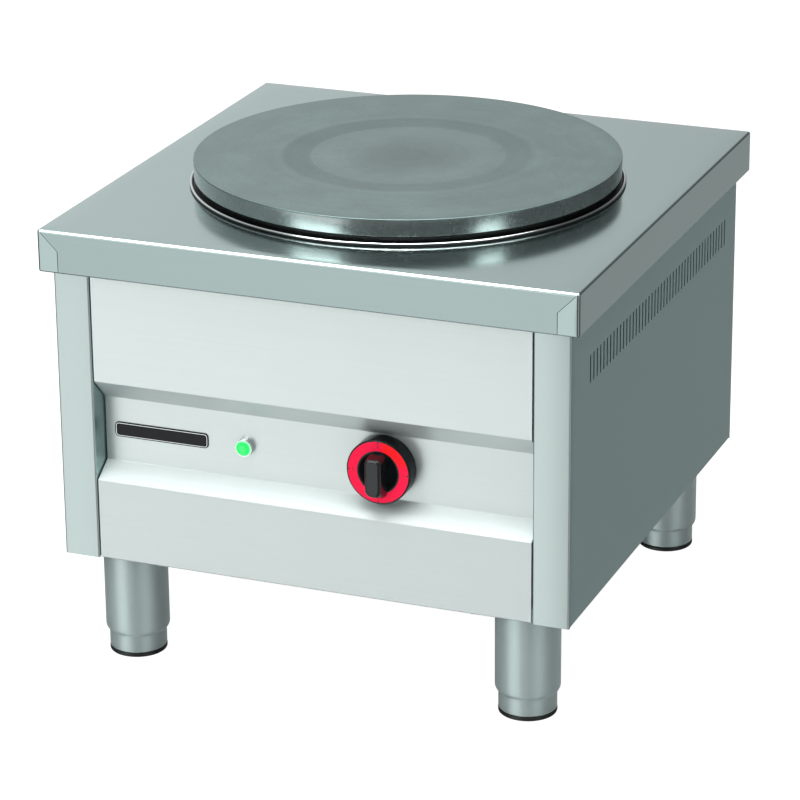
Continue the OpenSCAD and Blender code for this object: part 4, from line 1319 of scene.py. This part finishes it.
@dataclass
class Controls:
    """Knob, dial ring, pilot lamp and plain badge in the recess."""

    knob_face: float = 17.0 * MM
    grip_height: float = 14.5 * MM
    grip_width: float = 15.0 * MM
    grip_up: float = 16.0 * MM
    grip_down: float = 18.5 * MM
    grip_draft: float = 1.0 * MM
    grip_slopes: tuple[float, float] = (2.0 * MM, 6.0 * MM)
    ring_inner: float = 20.13 * MM
    ring_outer: float = 29.0 * MM
    ring_sheet: float = 1.0 * MM
    hollow: float = 4.0 * MM
    cavity: float = 11.0 * MM
    wall: float = 2.5 * MM
    bore: tuple[float, float] = (4.0 * MM, 17.0 * MM)
    bore_radius: float = 3.05 * MM
    hub_radius: float = 8.0 * MM
    dish_width: float = 5.0 * MM
    round_over: float = 2.4 * MM
    spine: tuple[float, float] = (-12.0 * MM, 10.0 * MM)
    numeral_size: float = 3.9 * MM
    numeral_radius: float = 24.3 * MM
    tick: tuple[float, float] = (1.9 * MM, 1.2 * MM)
    print_gap: float = 0.01 * MM
    print_height: float = 0.05 * MM
    segments: int = 128
    ticks: tuple[float, ...] = (0.0, 90.0, 180.0, 270.0)
    numerals: dict[float, str] = field(default_factory=lambda: {90.0: "0", 0.0: "1", 180.0: "3"})

    def __post_init__(self) -> None:
        """Reads the places of the controls from the frame."""
        x, _, z = centre_of("dial_ring")
        self.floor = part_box("badge_plate")[1][1]
        self.seat = front_seat(x, self.floor, z)
        self.inside = (x, self.floor - 10 * MM, z)
        low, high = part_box("knob")
        self.radius = (high[0] - low[0]) / 2
        self.foot = self.floor - high[1]

    def knob(self) -> bpy.types.Object:
        """Hollow drum with a ring groove and a dished hub, and the grip bar that crosses it."""
        r, face = self.radius, self.knob_face
        deep = face - self.hollow
        turn = np.linspace(0, 1, 9)
        dish = np.column_stack([
            (self.ring_inner - 1 * MM) - turn * self.dish_width,
            face - self.hollow * (0.5 - 0.5 * np.cos(math.pi * turn)),
        ])
        body = filleted(
            [
                (0, self.bore[1]), (self.bore_radius, self.bore[1]), (self.bore_radius, self.bore[0]),
                (self.hub_radius, self.bore[0]), (self.hub_radius, self.cavity),
                (r - self.wall, self.cavity),
                (r - self.wall, self.foot), (r, self.foot), (r, face), (self.ring_outer, face),
                (self.ring_outer, face - self.ring_sheet), (self.ring_inner, face - self.ring_sheet),
                (self.ring_inner, face), (self.ring_inner - 0.5 * MM, face),
            ],
            [0, 0, 0, 1 * MM, 1 * MM, 0.3 * MM, 0.5 * MM, 1.1 * MM, 0.2 * MM, 0, 0, 0.2 * MM], 6,
        )
        line = np.concatenate([body, dish, [(0, deep)]])
        shell = Shell().lathe(evenly(line, 0.004), self.seat, self.segments)
        self.add_grip(shell, deep)
        return shell.build("control_knob", self.inside, crease=40)

    def grip_outline(self, height: float, inset: float) -> Array:
        """Rounded bar at a height: its sides and ends lean in as it rises, and inset shrinks it all round.

        Args:
            height: height above the knob's face, 0 or more.
            inset: distance moved inwards all round.

        Returns:
            Closed outline in right and up coordinates.
        """
        left = 1 - height / self.grip_height
        half = self.grip_width / 2 + self.grip_draft * left - inset
        up = self.grip_up + self.grip_slopes[0] * left - inset
        down = self.grip_down + self.grip_slopes[1] * left - inset
        corners = [(-half, -down), (half, -down), (half, up), (-half, up)]
        round_foot, round_head = 6.0 * MM - inset, 3.6 * MM - inset
        return closed_fillet(corners, [round_foot, round_foot, round_head, round_head], 8)

    def add_grip(self, shell: Shell, hub: float) -> None:
        """Adds the grip bar as a stack of outlines, rounded over at the top and closed on its middle line.

        Args:
            shell: the knob's shell.
            hub: height of the hub that the bar stands on.
        """
        rise = np.linspace(0, self.grip_height - self.round_over, 4, endpoint=False)
        outlines = [self.grip_outline(0.0, 0.0)] + [self.grip_outline(float(h), 0.0) for h in rise]
        heights = [hub - 1.0 * MM, *(self.knob_face + rise)]
        for a in np.linspace(0, math.pi / 2, 9):
            height = self.grip_height - self.round_over * (1 - math.sin(a))
            outlines.append(self.grip_outline(height, self.round_over * (1 - math.cos(a))))
            heights.append(self.knob_face + height)
        last, first = outlines[-1], outlines[0]
        spine = np.column_stack([np.zeros(len(last)), np.clip(last[:, 1], *self.spine)])
        for share in (0.3, 0.6, 0.85, 1.0):
            outlines.append(last + (spine - last) * share)
            heights.append(heights[-1])
        base = np.column_stack([np.zeros(len(first)), np.clip(first[:, 1], *self.spine)])
        shell.loft([base, *outlines], [heights[0], *heights], self.seat)

    def dial(self) -> bpy.types.Object:
        """Flat ring set into the knob's face."""
        back, face = self.knob_face - self.ring_sheet, self.knob_face
        inner, outer, bevel = self.ring_inner, self.ring_outer, 0.12 * MM
        line = np.array([
            (inner, back), (outer, back), (outer, face - bevel), (outer - bevel, face),
            (inner + bevel, face), (inner, face - bevel), (inner, back),
        ])
        return Shell().lathe(evenly(line, 0.003), self.seat, self.segments).build("dial_face", self.inside)

    def marks(self) -> bpy.types.Object:
        """Ticks at the ring's outer edge, with a numeral inside them."""
        shell = Shell()
        face, thick = self.knob_face + self.print_gap, self.print_height
        outer = self.ring_outer - 0.2 * MM
        for angle in self.ticks:
            tick = self.bar(angle, outer - self.tick[0], outer, self.tick[1], face, thick)
            shell.grid(self.seat.place(tick))
        for angle, text in self.numerals.items():
            self.add_numeral(shell, text, angle, self.numeral_radius, face, thick)
        return shell.build("dial_marks", self.inside)

    @staticmethod
    def bar(angle: float, inner: float, outer: float, width: float, low: float, thick: float) -> Array:
        """Closed box along a radius.

        Args:
            angle: degrees from the right, counter-clockwise.
            inner: its inner radius.
            outer: its outer radius.
            width: across the radius.
            low: height of its back.
            thick: its thickness.

        Returns:
            Grid of section outlines, shut at both ends.
        """
        a = math.radians(angle)
        along = np.array([math.cos(a), math.sin(a), 0.0])
        across = np.array([-math.sin(a), math.cos(a), 0.0]) * width / 2
        up = np.array([0.0, 0.0, 1.0])
        section = np.stack([
            -across + up * low, across + up * low, across + up * (low + thick),
            -across + up * (low + thick), -across + up * low,
        ])
        middle = np.broadcast_to(section[:4].mean(axis=0), section.shape)
        start, end = section + along * inner, section + along * outer
        return np.stack([middle + along * inner, start, end, middle + along * outer])

    def add_numeral(
        self, shell: Shell, text: str, angle: float, radius: float, low: float, thick: float
    ) -> None:
        """Adds one upright numeral, taken from a text object's own mesh.

        Args:
            shell: the shell that takes it.
            text: the numeral.
            angle: its place in degrees from the right.
            radius: distance of its middle from the knob's axis.
            low: height of its back.
            thick: its thickness.
        """
        curve = bpy.data.curves.new("numeral", "FONT")
        curve.body, curve.size, curve.extrude = text, self.numeral_size, thick / 2
        curve.align_x, curve.align_y = "CENTER", "CENTER"
        curve.resolution_u = 4
        source = bpy.data.objects.new("numeral", curve)
        bpy.context.scene.collection.objects.link(source)
        mesh = source.evaluated_get(bpy.context.evaluated_depsgraph_get()).to_mesh()
        points = np.empty(len(mesh.vertices) * 3)
        mesh.vertices.foreach_get("co", points)
        a = math.radians(angle)
        shift = [radius * math.cos(a), radius * math.sin(a), low + thick / 2]
        local = points.reshape(-1, 3) + shift
        shell.raw(self.seat.place(local), [list(p.vertices) for p in mesh.polygons])
        bpy.data.objects.remove(source)

    def lamp(self) -> tuple[bpy.types.Object, bpy.types.Object]:
        """Domed lens and the bright bezel that holds it."""
        low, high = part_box("lamp_lens")
        bezel_low, bezel_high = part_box("lamp_bezel")
        x, _, z = centre_of("lamp_lens")
        seat = front_seat(x, self.floor, z)
        inside = (x, self.floor - 2 * MM, z)
        r, proud = (high[0] - low[0]) / 2, self.floor - low[1]
        rim, tall = (bezel_high[0] - bezel_low[0]) / 2, self.floor - bezel_low[1]
        dome = np.radians(np.linspace(12, 90, 14))
        crown, hole = proud - tall, r + 0.02 * MM
        lens = np.concatenate([
            [(0, 0), (r, 0), (r, tall)],
            np.column_stack([r * np.cos(dome), tall + crown * np.sin(dome)]),
        ])
        bezel = filleted(
            [(hole, 0), (rim, 0), (rim, tall), (hole, tall), (hole, 0)],
            [0.2 * MM, 0.8 * MM, 0.4 * MM], 6,
        )
        glass = Shell().lathe(evenly(lens, 0.002), seat, 72).build("lamp_dome", inside)
        ring = Shell().lathe(evenly(bezel, 0.004), seat, 72).build("lamp_ring", (x, 0, z))
        return glass, ring

    def badge(self) -> tuple[bpy.types.Object, bpy.types.Object]:
        """Plain plate with rounded corners, and a thin border line set into its face."""
        low, high = (np.array(c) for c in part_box("badge_plate"))
        x, _, z = centre_of("badge_plate")
        seat = front_seat(x, self.floor, z)
        half = (high - low)[[0, 2]] / 2
        thick = float(high[1] - low[1])

        def outline(inset: float) -> Array:
            """The plate's outline moved inwards."""
            a, b = half - inset
            corners = [(-a, -b), (a, -b), (a, b), (-a, b)]
            return closed_fillet(corners, [4 * MM - inset] * 4, 8)

        bevel = 0.3 * MM
        lines = [outline(0.0), outline(0.0), outline(bevel)]
        last = lines[-1]
        reach = float(half[0]) - 6 * MM
        spine = np.column_stack([np.clip(last[:, 0], -reach, reach), np.zeros(len(last))])
        fill = [last + (spine - last) * s for s in (0.4, 1.0)]
        back = [np.column_stack([np.clip(lines[0][:, 0], -reach, reach), np.zeros(len(last))])]
        heights = [0.0, 0.0, thick - bevel, thick - 0.04 * MM, thick - 0.04 * MM, thick - 0.04 * MM]
        inside = (x, self.floor, z)
        plate = Shell().loft([*back, *lines, *fill], heights, seat).build("badge_face", inside)
        rim = [outline(i * MM) for i in (1.1, 1.1, 1.55, 1.55, 1.1)]
        high_z = [thick - 0.1 * MM, thick, thick, thick - 0.1 * MM, thick - 0.1 * MM]
        border = Shell().loft(rim, high_z, seat).build("badge_border", inside)
        return plate, border


# ---------------------------------------------------------------- studio


@dataclass(frozen=True)
class Softbox:
    """Rectangular area light that points at the stove."""

    name: str
    azimuth: float
    elevation: float
    distance: float
    size: tuple[float, float]
    power: float
    target: tuple[float, float, float] = (0.0, 0.0, 0.3)

    def build(self) -> None:
        """Places the light on its bearing: azimuth 0 is in front of the stove and 90 to its right."""
        data = bpy.data.lights.new(self.name, "AREA")
        data.shape, data.size, data.size_y, data.energy = "RECTANGLE", *self.size, self.power
        a, e = math.radians(self.azimuth), math.radians(self.elevation)
        away = np.array([math.sin(a) * math.cos(e), -math.cos(a) * math.cos(e), math.sin(e)])
        light = bpy.data.objects.new(self.name, data)
        bpy.context.scene.collection.objects.link(light)
        light.matrix_world = aimed(np.array(self.target) + away * self.distance, away)


def aimed(place: Array, back: Array) -> Matrix:
    """Matrix of a light or camera at a place, which looks along minus back with its head up."""
    back = back / np.linalg.norm(back)
    right = np.cross([0.0, 0.0, 1.0], back)
    if np.linalg.norm(right) < 1e-6:
        right = np.array([1.0, 0.0, 0.0])
    right = right / np.linalg.norm(right)
    up = np.cross(back, right)
    matrix = np.eye(4)
    matrix[:3, 0], matrix[:3, 1], matrix[:3, 2], matrix[:3, 3] = right, up, back, place
    return Matrix(matrix.tolist())


@dataclass(frozen=True)
class Studio:
    """Pale floor, surrounding light, softboxes and the camera."""

    floor_half: float = 12.0
    camera_place: tuple[float, float, float] = (1.1715, -2.9632, 1.4161)
    camera_yaw: float = -21.74
    camera_pitch: float = 20.89
    camera_roll: float = -0.51
    lens: float = 160.26
    floor_glow: float = 1.15
    floor_share: float = 0.86
    backdrop: float = 1.3
    zenith_glow: float = 1.3
    floor_patches: tuple[tuple[float, float, float], ...] = ((-31.0, 19.0, 1.25), (61.0, 15.0, 0.62))
    softboxes: tuple[Softbox, ...] = (
        Softbox("overhead_softbox", 0.0, 89.0, 2.4, (2.6, 2.2), 80.0),
        Softbox("strip_light", -20.0, 82.0, 2.3, (0.9, 0.35), 18.0),
        Softbox("left_softbox", -27.0, 30.0, 2.6, (1.1, 1.0), 16.0),
        Softbox("right_softbox", 64.0, 30.0, 2.6, (0.6, 1.0), 8.0),
    )

    def camera(self) -> None:
        """Camera from its yaw to the right, its pitch down and its roll."""
        yaw, pitch, roll = (
            math.radians(a) for a in (self.camera_yaw, self.camera_pitch, self.camera_roll)
        )
        forward = np.array([
            math.sin(yaw) * math.cos(pitch), math.cos(yaw) * math.cos(pitch), -math.sin(pitch)
        ])
        right = np.array([math.cos(yaw), -math.sin(yaw), 0.0])
        up = np.cross(right, forward)
        turned = math.cos(roll) * right + math.sin(roll) * up
        top = -math.sin(roll) * right + math.cos(roll) * up
        matrix = np.eye(4)
        matrix[:3, 0], matrix[:3, 1], matrix[:3, 2] = turned, top, -forward
        matrix[:3, 3] = self.camera_place
        data = bpy.data.cameras.new("camera")
        data.lens, data.sensor_width, data.clip_start, data.clip_end = self.lens, 36.0, 0.05, 60.0
        camera = bpy.data.objects.new("camera", data)
        bpy.context.scene.collection.objects.link(camera)
        camera.matrix_world = Matrix(matrix.tolist())
        bpy.context.scene.camera = camera

    def floor(self) -> None:
        """Pale floor that takes soft shadows, isn't mirrored in the steel and is clear from below."""
        h = self.floor_half
        mesh = bpy.data.meshes.new("floor")
        mesh.from_pydata([(-h, -h, 0), (h, -h, 0), (h, h, 0), (-h, h, 0)], [], [(0, 1, 2, 3)])
        floor = bpy.data.objects.new("floor", mesh)
        bpy.context.scene.collection.objects.link(floor)
        floor.visible_glossy = False
        material, graph = new_graph("pale_floor")
        diffuse = graph.add("BsdfDiffuse", sockets={"Color": (0.9, 0.91, 0.91, 1.0)})
        glow = graph.add("Emission", sockets={"Color": (1.0, 1.0, 1.0, 1.0), "Strength": self.floor_glow})
        seen = graph.add("LightPath", output="Is Camera Ray")
        both = graph.add("MixShader", sockets={0: seen * self.floor_share, 1: diffuse, 2: glow})
        from_below = graph.add("NewGeometry", output="Backfacing")
        clear = graph.add("BsdfTransparent")
        sided = graph.add("MixShader", sockets={0: from_below, 1: both, 2: clear})
        graph.add("OutputMaterial", sockets={"Surface": sided})
        dress(floor, material)

    def surroundings(self) -> None:
        """Light from all round: pale in front and below, mid grey behind on the left, dark on the right."""
        world = bpy.data.worlds.new("studio")
        bpy.context.scene.world = world
        world.use_nodes = True
        world.node_tree.nodes.clear()
        graph = Graph(world.node_tree)
        x, y, z = graph.parts(graph.add("TexCoord", output="Generated"))
        bearing = x.bearing(y)
        left = x.ramp(0.35, -0.75)
        below = z.ramp(0.10, -0.12)
        low = 0.08 + 0.12 * abs(bearing - 15.0).ramp(50.0, 30.0) + 0.24 * abs(bearing).ramp(138.0, 150.0)
        for middle, half, strength in self.floor_patches:
            low = low + strength * abs(bearing - middle).ramp(half + 5.0, half - 5.0)
        high = 0.10 + left * 0.28 + y.ramp(-0.2, 0.9) * left * 0.45
        zenith = z.ramp(0.72, 0.95)
        low = low * (1 - 0.3 * z.ramp(-0.6, -0.85))
        strength = low * below + high * (1 - below) + zenith * self.zenith_glow
        seen = graph.add("LightPath", output="Is Camera Ray")
        total = seen * self.backdrop + (1 - seen) * strength
        light = graph.add("Background", sockets={"Color": (0.97, 1.0, 0.995, 1.0), "Strength": total})
        graph.add("OutputWorld", sockets={"Surface": light})

    def build(self) -> None:
        """Sets up the whole studio."""
        self.camera()
        self.floor()
        self.surroundings()
        for softbox in self.softboxes:
            softbox.build()
        bpy.context.scene.view_settings.view_transform = "Standard"


# ---------------------------------------------------------------- finishes in use


class Finishes:
    """Every finish of the stove, each made once."""

    def __init__(self) -> None:
        """Makes the materials."""
        dial = centre_of("dial_ring")
        lamp_low, lamp_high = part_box("lamp_lens")
        lamp = centre_of("lamp_lens")
        dial_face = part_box("dial_ring")[0][1] + 0.0003
        made = (
            WorktopSteel("polished_worktop", (0.575, 0.70, 0.69), 0.15, Grain.ALONG_X, 1.5e-6, 0.06, 0.05),
            FrontSteel("satin_front", (0.69, 0.75, 0.74), 0.38, Grain.ALONG_X, 1e-6, 0.05, 0.03, 0.7),
            # the side sheets' steel is a darker, greener copy of the front's: painted shade of the sides
            SideSteel("satin_side_painted_shade", (0.317, 0.45, 0.443), 0.30, Grain.ALONG_Z, 1e-6, 0.04, 0.012, 0.85),
            BrushedSteel("satin_back", (0.50, 0.565, 0.56), 0.32, Grain.ALONG_Z, 1e-6, 0.05, 0.03, 0.85),
            BrushedSteel("brushed_leg", (0.56, 0.665, 0.655), 0.46, Grain.ALONG_Z, 3e-6, 0.10, 0.04, 0.7),
            BrushedSteel("bright_trim", (0.80, 0.84, 0.83), 0.10, Grain.NONE, 1e-6, 0.04, 0.04),
            TrimSteel("ring_trim", (0.80, 0.84, 0.83), 0.10, Grain.NONE, 1e-6, 0.04, 0.04),
            BrushedSteel("plated_steel", (0.62, 0.64, 0.63), 0.30, Grain.NONE, 5e-6, 0.10, 0.12),
            BrushedSteel("brass", (0.72, 0.55, 0.26), 0.28, Grain.NONE, 5e-6, 0.12, 0.12),
            BrushedSteel("coil_metal", (0.33, 0.31, 0.30), 0.45, Grain.NONE, 8e-6, 0.15, 0.15),
            CastIron("cast_iron", (0.208, 0.28, 0.275), 0.36),
            Zinc("zinc_sheet", (0.58, 0.60, 0.60), 0.38),
            Moulded("knob_plastic", (0.007, 0.009, 0.010), 0.18, 1400.0, 1e-6, 0.25, 0.0, 0.14, dial_face),
            Moulded("badge_plastic", (0.007, 0.008, 0.009), 0.22, 1400.0, 1e-6, 0.25, 0.0, 0.2),
            Moulded("gland_plastic", (0.022, 0.024, 0.025), 0.46, 700.0, 1e-5, 0.25),
            Moulded("foot_plastic", (0.012, 0.014, 0.014), 0.42, 700.0, 1e-5, 0.25),
            Moulded("switch_plastic", (0.035, 0.034, 0.034), 0.42, 500.0, 8e-6, 0.2),
            Moulded("porcelain", (0.78, 0.76, 0.70), 0.22, 400.0, 4e-6, 0.08, 0.5),
            Moulded("compound", (0.62, 0.58, 0.50), 0.85, 600.0, 6e-5, 0.2),
            Moulded("ceramic_fibre", (0.82, 0.81, 0.77), 0.95, 320.0, 2e-4, 0.12),
            Moulded("wire_sleeve", (0.30, 0.25, 0.20), 0.6, 1200.0, 3e-5, 0.25),
            Moulded("dial_ink", (0.015, 0.01, 0.012), 0.4, 1400.0, 2e-6, 0.2),
            DialPrint(
                "dial_print", (0.90, 0.004, 0.055), (0.95, 0.006, 0.010), (dial[0], dial[2])
            ),
            LampGlass(
                "lamp_glass", (0.01, 0.95, 0.12), (0.35, 0.95, 0.55), (lamp[0], lamp[2]),
                (lamp_high[0] - lamp_low[0]) / 2,
            ),
        )
        self.by_name = {finish.name: finish.material() for finish in made}

    def __getitem__(self, name: str) -> bpy.types.Material:
        """The material of a finish."""
        return self.by_name[name]


KEPT_NODES = {
    "satin_back": ["back_panel"],
    "zinc_sheet": ["bottom_pan", "left_stiffener", "right_stiffener", "heat_shield", "mounting_bridge",
                   "plate_base_cover"],
    "plated_steel": ["centre_stud", "bridge_washer", "bridge_nut", "switch_screws", "switch_shaft",
                     "lamp_nut", "panel_screws", "worktop_nuts", "leg_bolts", "leg_nuts"],
    "brass": ["plate_terminal_pins", "switch_terminals", "supply_terminal_screws", "bonding_stud",
              "bonding_nuts"],
    "coil_metal": ["outer_coil", "middle_coil", "inner_coil"],
    "compound": ["embedding_compound"],
    "porcelain": ["plate_terminal_block", "supply_terminal_block"],
    "ceramic_fibre": ["insulation_pad"],
    "switch_plastic": ["rotary_switch", "lamp_body"],
    "gland_plastic": ["gland_body", "gland_dome_nut", "gland_locknut"],
    "wire_sleeve": ["plate_wires", "supply_wires", "lamp_wires"],
}


def build_stove(finish: Finishes) -> None:
    """Builds every new piece, sub-assembly by sub-assembly, and dresses the nodes that stay.

    Args:
        finish: the finishes to use.
    """
    worktop = Worktop()
    ready(worktop.build(), finish["polished_worktop"], "root", "stainless_top", "worktop")
    ready(worktop.studs, finish["plated_steel"], "root", "plated_steel")
    for side, node in ((1, "right_side_panel"), (-1, "left_side_panel")):
        ready(SidePanel(side).build(), finish["satin_side_painted_shade"], "root", "stainless_side", node)
    ready(FrontPanel().build(), finish["satin_front"], "root", "stainless_front", "front_panel")
    plate = HotPlate()
    ready(plate.plate(), finish["cast_iron"], "root", "plate_iron", "hot_plate")
    ready(plate.ring(), finish["ring_trim"], "root", "bright_trim", "trim_ring")
    for place in ("front_left", "front_right", "back_left", "back_right"):
        leg = Leg(place)
        ready(leg.tube(), finish["brushed_leg"], "root", "leg_steel", "leg_tube_" + place)
        ready(leg.sleeve(), finish["brushed_leg"], "sleeve_" + place, "leg_steel", "foot_sleeve_" + place)
        ready(leg.pad(), finish["foot_plastic"], "pad_" + place, "foot_plastic", "foot_pad_" + place)
    controls = Controls()
    ready(controls.knob(), finish["knob_plastic"], "knob_unit", "knob_black", "knob")
    ready(controls.dial(), finish["dial_print"], "knob_unit", "dial_red", "dial_ring")
    ready(controls.marks(), finish["dial_ink"], "knob_unit", "knob_black")
    lens, bezel = controls.lamp()
    ready(lens, finish["lamp_glass"], "root", "lens_green", "lamp_lens")
    ready(bezel, finish["bright_trim"], "root", "bright_trim", "lamp_bezel")
    plate_face, border = controls.badge()
    ready(plate_face, finish["badge_plastic"], "root", "badge_black", "badge_plate")
    ready(border, finish["bright_trim"], "root", "bright_trim")
    for name, nodes in KEPT_NODES.items():
        for node in nodes:
            dress(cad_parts[node], finish[name])


def main() -> None:
    """Builds the studio and the stove, and reports each piece."""
    logging.basicConfig(level=logging.INFO, format="%(message)s")
    Studio().build()
    build_stove(Finishes())


if __name__ == "__main__":
    main()
